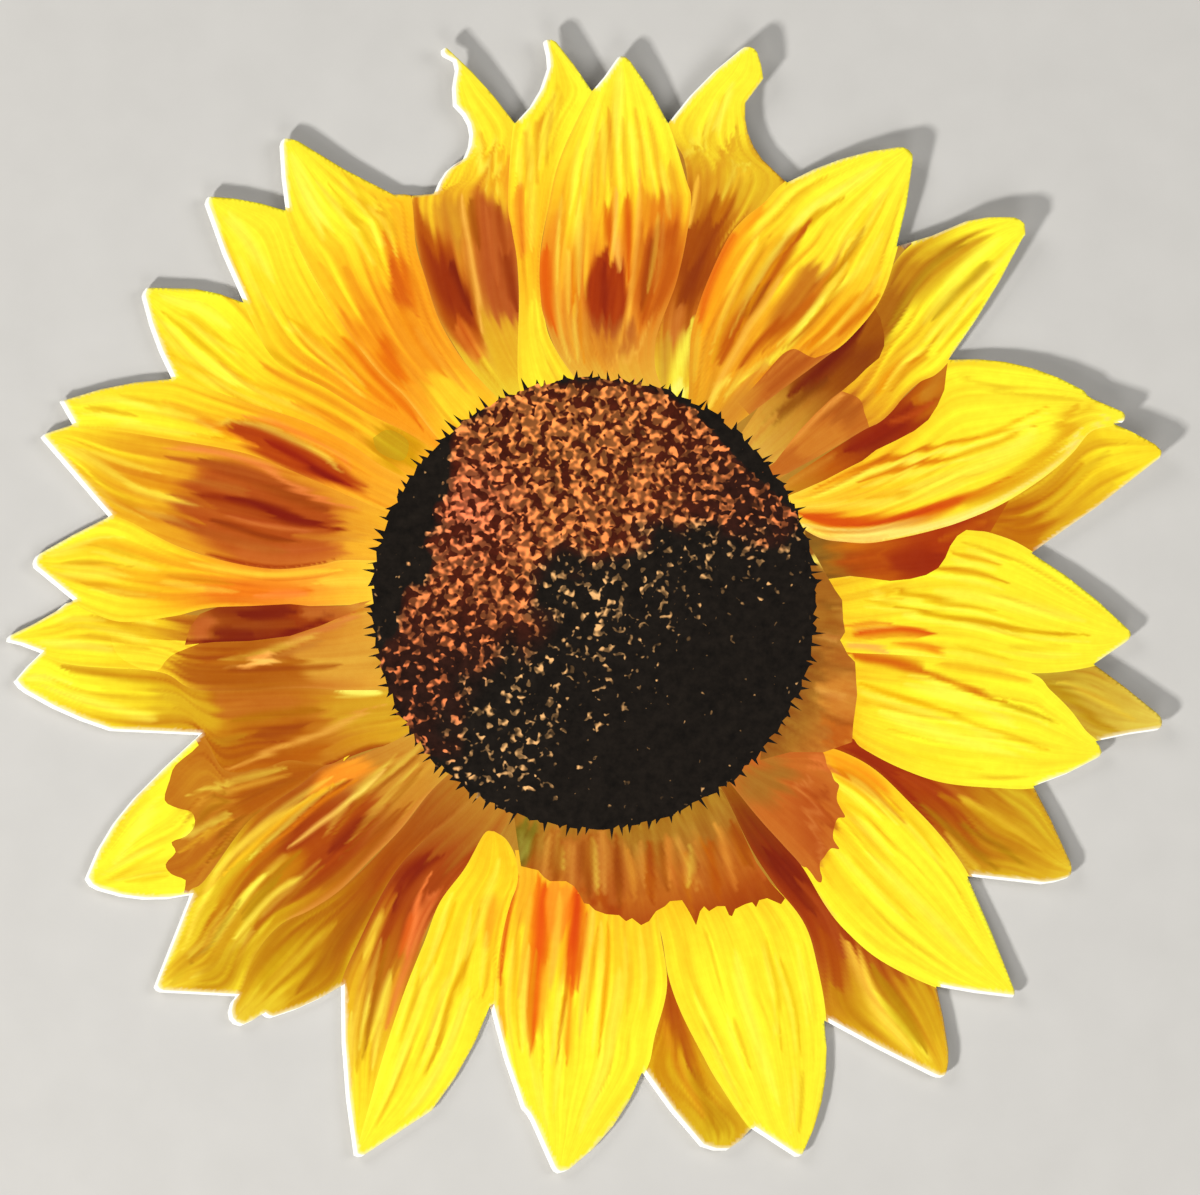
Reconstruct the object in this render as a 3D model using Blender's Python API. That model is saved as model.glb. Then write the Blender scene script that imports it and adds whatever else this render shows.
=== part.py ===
# A sunflower cut out of printed card: one thin sheet, cut along the edge of the printed petals.
# The sheet lies on its back. It is flat under the printed disc, and its petals lift a little,
# most of all at the upper right. Units are metres, +Z is up, and the origin is on the back of
# the sheet, under the middle of the printed disc.

import math

import bpy
from mathutils import Vector
from mathutils.geometry import delaunay_2d_cdt

# Driving dimensions of the sheet.
WIDTH = 0.076                # m, from the leftmost petal tip to the rightmost
THICKNESS = 0.00035          # m, art card of about 300 g per square metre
FLAT_RADIUS = 0.0185         # m, the part of the back that touches the surface
TIP_RADIUS = 0.038           # m, where a tip's full lift is reached
LIFT_ALL_ROUND = 0.00025     # m, how far every tip stands off the surface
LIFT_UPPER_RIGHT = 0.00115   # m, what the tips in the lift's direction add to that
LIFT_DIRECTION = math.radians(52)   # from +X, where the sheet curls most

# How the photograph's pixels become sizes on the sheet: x runs right and y runs down there.
PHOTO_LEFT_TIP_X = 7
PHOTO_RIGHT_TIP_X = 1161
PHOTO_DISC_CENTRE = (595, 605)
METRES_PER_PIXEL = WIDTH / (PHOTO_RIGHT_TIP_X - PHOTO_LEFT_TIP_X)

# The cut line, clockwise from the hooked tip at the top left. Each row is one petal or one
# bite, and each entry is a corner as (x, y, bow) in photograph pixels: bow is how far the
# stretch from that corner to the next swells out of the sheet, and it is negative where the
# stretch is hollow.
CUT_LINE = {
    "hooked_petal": [(447, 49, 3)],
    "narrow_top_petal": [(515, 124, -5), (547, 70, -1), (543, 44, 1), (547, 41, 1), (556, 43, 1)],
    "top_petal": [(592, 92, -1), (615, 62, 1), (621, 57, 1), (630, 62, 2)],
    "bitten_petal": [(668, 124, 4), (740, 51, 1), (749, 48, 1), (757, 54, 1), (763, 80, 0)],
    "right_bite": [(745, 104, -6), (762, 160, 0), (784, 181, 0)],
    "one_o_clock_petal": [(787, 183, 6), (898, 148, 1), (908, 151, 2), (912, 162, 2)],
    "half_past_one_petal": [(896, 247, -2), (965, 222, 2), (1008, 218, 1), (1019, 221, 2), (1024, 230, 2),
                            (1021, 240, 3)],
    "two_o_clock_petal": [(948, 360, 11), (1083, 391, -1), (1091, 399, 0), (1119, 411, 1), (1124, 416, 1),
                          (1121, 423, 0)],
    "half_past_two_petal": [(1112, 424, 1), (1147, 441, 1), (1158, 449, 1), (1160, 454, 1), (1156, 460, 2)],
    "three_o_clock_petal": [(1031, 553, 4), (1127, 629, 1), (1130, 635, 1), (1125, 642, 0)],
    "upper_back_petal": [(1093, 664, 1), (1156, 713, 1), (1161, 721, 2), (1156, 730, -1)],
    "half_past_three_petal": [(1095, 741, 1), (1101, 752, 1), (1096, 758, 2)],
    "lower_back_petal": [(1033, 786, 1), (1067, 856, 1), (1071, 868, 2), (1066, 878, 1), (1040, 884, 0)],
    "four_o_clock_petal": [(967, 876, 1), (1014, 990, 1), (1012, 997, 1)],
    "five_o_clock_back_petal": [(936, 986, 1), (948, 1050, 1), (946, 1072, 1), (940, 1077, 1), (930, 1075, 1)],
    "half_past_five_petal": [(824, 1020, 11), (802, 1154, 1), (794, 1156, 0)],
    "six_o_clock_back_petal": [(751, 1128, 2), (726, 1150, 2), (700, 1146, 2)],
    "six_o_clock_petal": [(642, 1072, 9), (570, 1168, 1), (557, 1173, 1), (551, 1167, 0), (531, 1122, -1),
                          (521, 1108, 2)],
    "half_past_six_petal": [(490, 1006, 5), (432, 1110, 0), (362, 1156, 1), (354, 1155, 4)],
    "torn_petal": [(341, 986, 3), (270, 1018, 1), (262, 1014, 1), (240, 1026, 4), (228, 1012, 2)],
    "seven_o_clock_petal": [(236, 996, 0), (160, 992, 1), (154, 987, 0), (157, 979, 0)],
    "eight_o_clock_petal": [(190, 895, 7), (97, 890, 2), (85, 879, 5), (133, 799, 1)],
    "half_past_eight_petal": [(199, 735, 0), (110, 731, 3), (25, 693, 1), (14, 682, 1)],
    "small_left_petal": [(41, 653, 0), (20, 645, 0), (7, 642, 1), (9, 636, -1), (57, 611, 0), (65, 604, 0)],
    "nine_o_clock_petal": [(74, 601, 0), (34, 568, 1), (34, 560, 1), (40, 554, 1)],
    "half_past_nine_petal": [(109, 517, 0), (41, 438, 1), (48, 433, 0)],
    "slim_left_petal": [(73, 425, 0), (60, 402, 1), (66, 400, 4)],
    "ten_o_clock_petal": [(172, 379, 3), (142, 297, 1), (147, 288, 0), (195, 289, 2)],
    "half_past_ten_petal": [(244, 303, 2), (205, 205, 1), (209, 197, 3)],
    "eleven_o_clock_petal": [(286, 211, 1), (280, 147, 1), (284, 139, 1), (299, 142, -2)],
    "left_bite": [(394, 195, 1), (413, 196, 0), (434, 194, 1), (445, 173, 1), (463, 160, -11),
                  (453, 107, 2), (455, 72, 0), (453, 63, 0), (443, 58, 1), (441, 52, 1)],
}

BOW_TOLERANCE = 0.04 * 0.001   # m, how far a facet may lie from its bowed stretch

# The inner points that let the thin sheet bend.
RING_SPACING = 0.0042        # m, between rings of points outside the flat part
RING_POINT_SPACING = 0.0050  # m, between points on one ring
EDGE_CLEARANCE = 0.0012      # m, the least distance from such a point to the cut line
FLAT_RING_POINTS = 36        # corners of the flat part's rim
TRIANGLES_INSIDE = 1         # the triangulation's setting that keeps what lies inside the cut line
MERGE_DISTANCE = 1e-7        # m, points closer than this are one point
CUT_EDGE_ANGLE = math.radians(30)   # shading breaks where faces meet more sharply than this

PRINTED_YELLOW = (0.85, 0.53, 0.03, 1.0)   # the printed face's mean colour, linear


def sheet_point(x, y):
    """The point on the sheet, in metres, of a pixel of the photograph."""
    centre_x, centre_y = PHOTO_DISC_CENTRE
    return Vector(((x - centre_x) * METRES_PER_PIXEL, (centre_y - y) * METRES_PER_PIXEL))


def bowed_stretch(start, end, bow):
    """Points from start up to, not including, end, on the parabola that swells by bow to the left of travel."""
    chord = end - start
    outward = Vector((-chord.y, chord.x)).normalized()
    pieces = max(1, math.ceil(math.sqrt(abs(bow) / BOW_TOLERANCE)))
    shares = [i / pieces for i in range(pieces)]
    return [start + chord * t + outward * (4 * bow * t * (1 - t)) for t in shares]


def cut_line():
    """The sheet's outline as a closed run of points, clockwise seen from above."""
    corners = [corner for row in CUT_LINE.values() for corner in row]
    points = []
    for (x, y, bow), (next_x, next_y, _) in zip(corners, corners[1:] + corners[:1]):
        stretch = bowed_stretch(sheet_point(x, y), sheet_point(next_x, next_y), bow * METRES_PER_PIXEL)
        points.extend(stretch)
    return points


def lift(point):
    """How far the back of the sheet stands off the surface: the square of the way from the
    flat part to the tips, with a cosine hump in the direction of the curl."""
    share = max(0.0, (point.length - FLAT_RADIUS) / (TIP_RADIUS - FLAT_RADIUS))
    turn = math.atan2(point.y, point.x) - LIFT_DIRECTION
    towards_curl = (0.5 + 0.5 * math.cos(turn)) ** 2
    return share ** 2 * (LIFT_ALL_ROUND + LIFT_UPPER_RIGHT * towards_curl)


def distance_to_line(point, line):
    """The distance from a point to the nearest stretch of a closed run of points."""
    nearest = math.inf
    for start, end in zip(line, line[1:] + line[:1]):
        along = end - start
        share = min(1.0, max(0.0, (point - start).dot(along) / along.length_squared))
        nearest = min(nearest, (point - start - along * share).length)
    return nearest


def ring(radius, count, turn=0.0):
    """Points spaced evenly round a circle about the origin."""
    angles = [2 * math.pi * (i + turn) / count for i in range(count)]
    return [Vector((radius * math.cos(a), radius * math.sin(a))) for a in angles]


def bending_points(line):
    """Rings of inner points outside the flat part, none closer to the cut line than the clearance."""
    points = []
    radius = FLAT_RADIUS + RING_SPACING
    turn = 0.5
    while radius < TIP_RADIUS:
        count = round(2 * math.pi * radius / RING_POINT_SPACING)
        points.extend(p for p in ring(radius, count, turn) if distance_to_line(p, line) > EDGE_CLEARANCE)
        radius += RING_SPACING
        turn = 0.5 - turn
    return points


def closed_run(first, count):
    """The index pairs that join count points, starting at first, into a closed run."""
    return [(first + i, first + (i + 1) % count) for i in range(count)]


def back_surface():
    """The back of the sheet as (points, triangles): the cut line's inside, split so that it can bend."""
    line = cut_line()
    flat_rim = ring(FLAT_RADIUS, FLAT_RING_POINTS)
    points = line + flat_rim + bending_points(line)
    outline = list(reversed(range(len(line))))
    rim_edges = closed_run(len(line), FLAT_RING_POINTS)
    split = delaunay_2d_cdt(points, rim_edges, [outline], TRIANGLES_INSIDE, MERGE_DISTANCE)
    flat_points, triangles = split[0], split[2]
    bent_points = [(p.x, p.y, lift(p)) for p in flat_points]
    return bent_points, [tuple(t) for t in triangles]


def card_material():
    """Coated art card, printed on its face."""
    material = bpy.data.materials.new("printed_art_card")
    material.use_nodes = True
    shader = material.node_tree.nodes["Principled BSDF"]
    shader.inputs["Base Color"].default_value = PRINTED_YELLOW
    shader.inputs["Roughness"].default_value = 0.45
    shader.inputs["Metallic"].default_value = 0.0
    return material


def closed_sheet(points, triangles):
    """The back surface, its copy one thickness higher, and a wall along each edge that only one triangle has."""
    count = len(points)
    front_points = [(x, y, z + THICKNESS) for x, y, z in points]
    directed_edges = {(t[i], t[i - 2]) for t in triangles for i in range(3)}
    rim = [(a, b) for a, b in directed_edges if (b, a) not in directed_edges]
    back = [tuple(reversed(t)) for t in triangles]
    front = [tuple(count + i for i in t) for t in triangles]
    walls = [(a, b, count + b, count + a) for a, b in sorted(rim)]
    return points + front_points, back + front + walls


def make_card():
    """The whole cut-out as one closed body, smooth over its bend and sharp along the cut."""
    body_points, body_faces = closed_sheet(*back_surface())
    mesh = bpy.data.meshes.new("printed_card")
    mesh.from_pydata(body_points, [], body_faces)
    mesh.shade_smooth()
    mesh.set_sharp_from_angle(angle=CUT_EDGE_ANGLE)
    mesh.materials.append(card_material())
    card = bpy.data.objects.new("printed_card", mesh)
    bpy.context.collection.objects.link(card)


def main():
    for old in list(bpy.data.objects):
        bpy.data.objects.remove(old)
    make_card()


main()
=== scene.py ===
# %% [markdown]
# A sunflower cut out of printed art card, about 76 mm across, lying on its back. On the real one a yellow
# flower was printed a little out of place on a white sheet, coated, and cut out along its petals, so white
# card shows as a rim along the left and lower edges. This lesson makes the card in four steps: the sheet's
# shape, the picture on it, the finishes, and the studio. The picture is painted by formula into the mesh, not
# loaded as an image.

# %% Load the frame
import math
import bpy
import numpy as np
from mathutils.geometry import delaunay_2d_cdt
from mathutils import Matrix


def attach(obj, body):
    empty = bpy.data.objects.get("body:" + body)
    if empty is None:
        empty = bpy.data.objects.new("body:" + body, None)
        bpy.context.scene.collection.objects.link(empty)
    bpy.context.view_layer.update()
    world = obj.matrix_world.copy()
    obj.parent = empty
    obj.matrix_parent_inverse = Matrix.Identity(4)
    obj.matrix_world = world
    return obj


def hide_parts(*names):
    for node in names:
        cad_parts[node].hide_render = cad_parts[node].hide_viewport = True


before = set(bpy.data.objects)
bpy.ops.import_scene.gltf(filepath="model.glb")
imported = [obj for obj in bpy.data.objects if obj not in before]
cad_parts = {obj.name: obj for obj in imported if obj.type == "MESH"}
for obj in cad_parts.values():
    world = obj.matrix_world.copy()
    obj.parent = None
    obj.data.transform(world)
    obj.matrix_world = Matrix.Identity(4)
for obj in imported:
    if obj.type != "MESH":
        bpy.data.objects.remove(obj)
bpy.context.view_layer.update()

# %% [markdown]
# Everything is measured from two scales. The sheet is in metres, with the flower's middle at the origin. The
# picture was read in the photograph's pixels, which run down and to the right, and one pixel is 0.066 mm of
# card.

# %% Scales
PHOTO_SIZE = (1200, 1195)
METRES_PER_PIXEL = 0.076 / 1154
PHOTO_ORIGIN = np.array([595.0, 605.0])
DISC_CENTRE = np.array([593.5, 603.5])
DISC_RADIUS = 226.0
Y_UP = np.array([1, -1])


def to_metres(places):
    """Pixels to metres on the sheet: the way from the flower's middle, with y turned to run up."""
    return (np.asarray(places, float) - PHOTO_ORIGIN) * Y_UP * METRES_PER_PIXEL


def to_pixels(places):
    """Metres on the sheet back to the photograph's pixels."""
    return np.asarray(places, float) * Y_UP / METRES_PER_PIXEL + PHOTO_ORIGIN


print("one pixel in mm:", round(METRES_PER_PIXEL * 1000, 4))

# %% [markdown]
# The card is flat in its middle and its petals lift a little off the table, most of all at the upper right.
# It could be bent with a modifier, but a height worked out for each point is exact and the same on both
# faces.

# %% The bend of the sheet
THICKNESS = 0.00035
FLAT_RADIUS = 0.0185
TIP_RADIUS = 0.038
LIFT_ALL_ROUND = 0.00025
LIFT_UPPER_RIGHT = 0.00115
LIFT_DIRECTION = math.radians(52)


def back_height(places):
    """The back face's height: the square of the way from the flat middle to the tips, times a lift that
    grows towards one direction with the square of half of one plus the cosine."""
    radius = np.hypot(*places.T)
    angle = np.arctan2(places[:, 1], places[:, 0])
    share = np.maximum(0, (radius - FLAT_RADIUS) / (TIP_RADIUS - FLAT_RADIUS))
    towards = (0.5 + 0.5 * np.cos(angle - LIFT_DIRECTION)) ** 2
    return share ** 2 * (LIFT_ALL_ROUND + LIFT_UPPER_RIGHT * towards)


print("highest lift in mm:", round((LIFT_ALL_ROUND + LIFT_UPPER_RIGHT) * 1000, 2))

# %% [markdown]
# The cut line is taken from the CAD sheet, so that the finished card has exactly its outline. The CAD mesh is
# loose triangles, so its corners are merged first. An edge that only one upward face uses lies on the cut
# line.

# %% The cut line
UPRIGHT = 0.5
MERGE_DECIMALS = 7


def sides_of(triangles):
    """The three edges of each triangle, as pairs of point numbers in its own order."""
    return np.vstack([triangles[:, [0, 1]], triangles[:, [1, 2]], triangles[:, [2, 0]]])


cad_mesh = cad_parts["printed_card"].data
cad_mesh.calc_loop_triangles()
corners = np.empty(len(cad_mesh.vertices) * 3)
cad_mesh.vertices.foreach_get("co", corners)
triangles = np.empty(len(cad_mesh.loop_triangles) * 3, int)
cad_mesh.loop_triangles.foreach_get("vertices", triangles)
normals = np.empty(len(cad_mesh.loop_triangles) * 3)
cad_mesh.loop_triangles.foreach_get("normal", normals)
front_faces = triangles.reshape(-1, 3)[normals.reshape(-1, 3)[:, 2] > UPRIGHT]
flat_corners = np.round(corners.reshape(-1, 3)[:, :2], MERGE_DECIMALS)
places, merged = np.unique(flat_corners, axis=0, return_inverse=True)
front_faces = merged.reshape(-1)[front_faces]
edges, uses = np.unique(np.sort(sides_of(front_faces), axis=1), axis=0, return_counts=True)
CUT_EDGES = to_pixels(places)[edges[uses == 1]]
print("stretches on the cut line:", len(CUT_EDGES), "from", len(places), "corners")

# %% [markdown]
# The picture on the card is made of flat areas with soft marks on them, as a printer's artwork is. It was
# read from the photograph, so its places are in the photograph's pixels, x to the right and y down, and a
# row of places is written as "845,452 870,440". An image would be quicker, but a drawn picture stays sharp
# and can be changed petal by petal.

# %% Inks and places
CREAM = "FFEBA0"


def ink(code):
    """A hex colour as three sRGB values from 0 to 1."""
    return np.array([int(code[start:start + 2], 16) for start in (0, 2, 4)]) / 255


def pixels(text):
    """A row of places as an array, with x and y for each."""
    return np.array([place.split(",") for place in text.split()], float)


def read_off(where, stops, rows):
    """The rows, which are given at the stops, read off in straight lines between them."""
    return np.stack([np.interp(where, stops, column) for column in rows.T], -1)


# %% Smooth steps and lines
def smooth_step(x):
    """0 below 0, 1 above 1, and 3x^2 - 2x^3 between."""
    x = np.clip(x, 0.0, 1.0)
    return x * x * (3 - 2 * x)


def smooth_line(points, steps=8):
    """Points along the curve that passes through the given ones: between two of them it is a cubic whose
    slope at each is half the way between that point's neighbours."""
    p = np.array(points, float)
    if len(p) == 2:
        return p[0] + (p[1] - p[0]) * np.linspace(0, 1, steps + 1)[:, None]
    p = np.vstack([2 * p[0] - p[1], p, 2 * p[-1] - p[-2]])
    before, start, end, after = p[:-3], p[1:-2], p[2:-1], p[3:]
    t = np.linspace(0, 1, steps, endpoint=False)[:, None, None]
    bend = (2 * before - 5 * start + 4 * end - after) * t ** 2
    turn = (3 * start - before - 3 * end + after) * t ** 3
    line = start + 0.5 * ((end - before) * t + (bend + turn))
    return np.vstack([line.transpose(1, 0, 2).reshape(-1, 2), p[-2:-1]])


def closed_line(corners, steps=8):
    """The smooth curve through the corners and back to the first."""
    return smooth_line(np.vstack([corners, corners[:1]]), steps)[:-1]


# %% Near a line, and inside an outline
TINY = 1e-9
BATCH = 8000


def nearest_on_line(points, line):
    """For each point, its distance to the line, positive on the line's left as the picture is seen, and
    the share of the line's length at which the nearest place lies."""
    starts, ways = line[:-1], np.diff(line, axis=0)
    lengths = np.hypot(*ways.T) + TINY
    away = points[:, None] - starts
    shares = np.clip((away * ways).sum(2) / lengths ** 2, 0, 1)
    distances = np.hypot(*(away - shares[..., None] * ways).transpose(2, 0, 1))
    nearest = distances.argmin(1)
    rows = np.arange(len(points))
    cross = ways[nearest, 0] * away[rows, nearest, 1] - ways[nearest, 1] * away[rows, nearest, 0]
    run = np.concatenate([[0], np.cumsum(lengths)])
    along = (run[nearest] + shares[rows, nearest] * lengths[nearest]) / run[-1]
    return np.where(cross < 0, 1, -1) * distances[rows, nearest], along


def outline_edges(outline):
    """The edges round a closed outline."""
    return np.stack([outline, np.roll(outline, -1, axis=0)], 1)


def within_edges(points, edges):
    """True for each point from which a line to the right crosses an odd number of the edges."""
    found = []
    start, end = edges[:, 0], edges[:, 1]
    rise = np.where(end[:, 1] == start[:, 1], TINY, end[:, 1] - start[:, 1])
    for some in np.array_split(points, max(1, len(points) // BATCH)):
        x, y = some[:, :1], some[:, 1:]
        spans = (start[:, 1] > y) != (end[:, 1] > y)
        crossing = start[:, 0] + (y - start[:, 1]) * (end[:, 0] - start[:, 0]) / rise
        found.append((spans & (x < crossing)).sum(1) % 2 == 1)
    return np.concatenate(found)


def inside(points, outline):
    """True for each point within the closed outline."""
    return within_edges(points, outline_edges(outline))


def near_box(points, outline, margin):
    """The numbers of the points that lie within the outline's bounding box and a margin."""
    low, high = outline.min(0) - margin, outline.max(0) + margin
    return np.flatnonzero(((points > low) & (points < high)).all(1))


def soft_cover(points, outline, softness):
    """How much of each point the closed outline covers, rising from 0 to 1 over the softness at its
    edge."""
    cover = np.zeros(len(points))
    near = near_box(points, outline, softness)
    if len(near):
        distance = np.abs(nearest_on_line(points[near], np.vstack([outline, outline[:1]]))[0])
        signed = np.where(inside(points[near], outline), distance, -distance)
        cover[near] = smooth_step(signed / softness + 0.5)
    return cover


LATTICE = 64


def value_noise(u, v, seed):
    """Random values on a square lattice of step 1, blended smoothly between its points."""
    lattice = np.random.default_rng(seed).random((LATTICE, LATTICE))
    iu, iv = np.floor(u).astype(int), np.floor(v).astype(int)
    fu, fv = smooth_step(u - iu), smooth_step(v - iv)
    iu, iv, next_u, next_v = iu % LATTICE, iv % LATTICE, (iu + 1) % LATTICE, (iv + 1) % LATTICE
    low = lattice[iu, iv] * (1 - fu) + lattice[next_u, iv] * fu
    high = lattice[iu, next_v] * (1 - fu) + lattice[next_u, next_v] * fu
    return low * (1 - fv) + high * fv


# %% [markdown]
# A mark is a brush stroke, a soft patch, a sharp patch or a fold, given by its ink, its width or softness,
# its strength and its path. A pair of widths makes a stroke steep on one side and gentle on the other, and a
# fold is a dark line with a lit crest beside it, as a crease in a petal is. Each mark is kept as a function
# that says how much of its ink each point gets, so that it can be read at any point of the mesh.

# %% Strokes
SMALL = 1e-6


def taper(along, ends):
    """1 along the middle of a path, and the square root of the way left to each end near it."""
    return np.sqrt(np.clip(along / ends[0], 0, 1) * np.clip((1 - along) / ends[1], 0, 1))


def stroke(code, width, strength, path, ends=(0.2, 0.3)):
    """A brush stroke along the path, full at its middle and half as strong at its width, narrowing at its
    ends."""
    left, right = (width / 2, width / 2) if np.isscalar(width) else width
    line = smooth_line(pixels(path))

    def cover(points, owners):
        amount = np.zeros(len(points))
        near = near_box(points, line, 2 * max(left, right))
        if len(near):
            distance, along = nearest_on_line(points[near], line)
            extent = 2 * np.where(distance > 0, left, right) * taper(along, ends) + SMALL
            amount[near] = strength * smooth_step(1 - np.abs(distance) / extent)
        return amount
    return (ink(code), ink(code)), cover, None


# %% Patches
LOBE_STEPS = 3


def patch(code, softness, strength, corners):
    """An area of ink with a soft edge, its outline a smooth curve through the corners."""
    outline = closed_line(pixels(corners))

    def cover(points, owners):
        return strength * soft_cover(points, outline, softness)
    return (ink(code), ink(code)), cover, None


def sharp_patch(code, strength, corners):
    """An area of ink with a sharp edge in small rounded lobes. The mesh has edges along its outline, so a
    point takes its ink from the triangle that owns it, which lies wholly inside or outside."""
    outline = closed_line(pixels(corners), LOBE_STEPS)

    def cover(points, owners):
        return strength * inside(owners, outline)
    return (ink(code), ink(code)), cover, outline


# %% Folds
FOLD_CREST = "FFF870"
CREST_STRENGTH = 0.6
CREST_ASIDE, CREST_WIDTH = 1.3, 1.2


def fold(code, width, strength, path, ends=(0.3, 0.5)):
    """A fold in a petal: a thin dark line and, on the right of its path, the lit crest beside it, which is
    given as an amount below zero."""
    line = smooth_line(pixels(path))

    def cover(points, owners):
        amount = np.zeros(len(points))
        near = near_box(points, line, 3 * width)
        if len(near):
            distance, along = nearest_on_line(points[near], line)
            reach = width * taper(along, ends)
            groove = smooth_step(1 - np.abs(distance) / (reach + SMALL))
            aside = np.abs(distance + CREST_ASIDE * width)
            crest = CREST_STRENGTH * smooth_step(1 - aside / (CREST_WIDTH * reach + SMALL))
            amount[near] = strength * np.where(groove > crest, groove, -crest)
        return amount
    return (ink(code), ink(FOLD_CREST)), cover, None


# %% [markdown]
# A petal lies between two smooth sides that run from its base to its tip, so each point in it has a share of
# the way across and a share of the way along. Both sides are cut into the same number of steps, like the two
# rails of a ladder, and a point is placed by the rung that it lies on. An area that is no petal, such as a
# shadow, is measured round the disc and outwards from it instead.

# %% Areas of the picture
RUNGS = 49
LED_IN_RADIUS = 205
LED_IN_FROM = 212
LED_IN_UP_TO = 246
AREAS = []


def rail(line):
    """A side of a petal cut into equal steps, one for each rung."""
    run = np.concatenate([[0], np.cumsum(np.hypot(*np.diff(line, axis=0).T))])
    return read_off(np.linspace(0, 1, RUNGS), run / run[-1], line)


def petal(name, side, other_side, wash, marks=(), veins=0.10, rim=0.07, creases=6):
    """A petal between two sides from base to tip. The wash is a row of inks evenly spaced from base to
    tip. A side that begins just outside the disc is led in under it, so that no gap shows between them."""
    sides = []
    for line in (pixels(side), pixels(other_side)):
        away = line[0] - DISC_CENTRE
        reach = np.hypot(*away)
        if LED_IN_FROM < reach < LED_IN_UP_TO:
            line = np.vstack([DISC_CENTRE + away * LED_IN_RADIUS / reach, line])
        sides.append(smooth_line(line))
    outline = np.vstack([sides[0], sides[1][::-1]])
    rails = [rail(line) for line in sides]
    AREAS.append(dict(name=name, outline=outline, rails=rails, wash=wash, marks=marks, veins=veins, rim=rim,
                      creases=creases))


def shade(name, outline, wash, marks=(), veins=0.10):
    """An area between petals, or the part of one in the disc's shadow: its wash runs outwards from the
    disc."""
    AREAS.append(dict(name=name, outline=outline, rails=None, wash=wash, marks=marks, veins=veins, rim=0.0,
                      creases=0))


# %% Across and along
SHADE_HALF_WIDTH = 40.0
SHADE_WIDTHS_PER_RADIAN = 9


def round_the_disc(outline, points):
    """The angle round the disc in half widths of a shade, and the share of the way out from the outline's
    nearest radius to its furthest."""
    away = points - DISC_CENTRE
    radius = np.hypot(*away.T)
    outline_radius = np.hypot(*(outline - DISC_CENTRE).T)
    nearest, furthest = max(DISC_RADIUS, outline_radius.min()), outline_radius.max()
    across = np.arctan2(away[:, 1], away[:, 0]) * SHADE_WIDTHS_PER_RADIAN
    along = np.clip((radius - nearest) / (furthest - nearest), 0, 1)
    return across, along, np.full(len(points), SHADE_HALF_WIDTH)


def area_coordinates(area, points):
    """The share of the way across (-1 to 1), the share of the way along (0 to 1), and half the width in
    pixels. A point lies between the last rung that it is beyond and the next, parted as its distances to
    both are."""
    if area["rails"] is None:
        return round_the_disc(area["outline"], points)
    first, second = area["rails"]
    rung = second - first
    away = points[:, None] - first
    cross = rung[:, 0] * away[..., 1] - rung[:, 1] * away[..., 0]
    step = np.diff(first, axis=0)
    outwards = np.sign(np.median(rung[:-1, 0] * step[:, 1] - rung[:-1, 1] * step[:, 0]))
    beyond = cross * outwards > 0
    last = np.where(beyond.any(1), beyond.shape[1] - 1 - beyond[:, ::-1].argmax(1), 0)
    last = np.minimum(last, RUNGS - 2)
    rows = np.arange(len(points))
    here, there = np.abs(cross[rows, last]), np.abs(cross[rows, last + 1])
    part = np.where(cross[rows, last] * outwards > 0, here / (here + there + TINY), 0)
    along = (last + part) / (RUNGS - 1)
    left, right = (read_off(along, np.linspace(0, 1, RUNGS), line) for line in (first, second))
    width = np.hypot(*(right - left).T) + SMALL
    across = ((points - left) * (right - left)).sum(1) / width ** 2 * 2 - 1
    return np.clip(across, -1, 1), along, width / 2


def way_outwards(area, points, along):
    """The unit way towards the tip at each point, or away from the disc where the area is no petal."""
    way = points - DISC_CENTRE
    if area["rails"] is not None:
        first, second = area["rails"]
        way = read_off(along, np.linspace(0, 1, RUNGS), np.gradient((first + second) / 2, axis=0))
    return way / (np.hypot(*way.T)[:, None] + TINY)


# %% [markdown]
# The paint of an area starts as its wash, then takes its marks in their order, then fine creases and streaks,
# and last a paler rim. A petal's fibres feather every edge of colour that crosses them, so streaks of noise
# push the wash and the marks to and fro along the petal. The streaks come in three widths, and the finer two
# fade out where the petal narrows, because there they would be finer than the mesh.

# %% Paint of an area
FEATHER = 18.0
STREAKS = ((12.0, 2.5, 20), (6.0, 4.0, 20), (4.2, 5.0, 40))
STREAK_TINT = np.array([0.45, 1.2, 1.5])
FINE_ROOM, HAIR_ROOM = (0.15, 0.35), (0.4, 0.4)
WASH_SHIFT = 0.10
BROAD_PUSH, HAIR_PUSH = 0.8, 0.9
BROAD_STREAK, THIN_STREAK = 0.8, 1.1
RIM_WIDTH = 4
CREASE_SPREAD, CREASE_SWAY = 1.8, 0.04
CREASE_RISE, CREASE_FADE = 0.08, 0.2
CREASE_DARK = (0.0, 1.7, np.array([0.06, 0.17, 0.26]))
CREASE_LIT = (3.6, 2.0, -np.array([0.05, 0.10, 0.12]))


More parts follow.
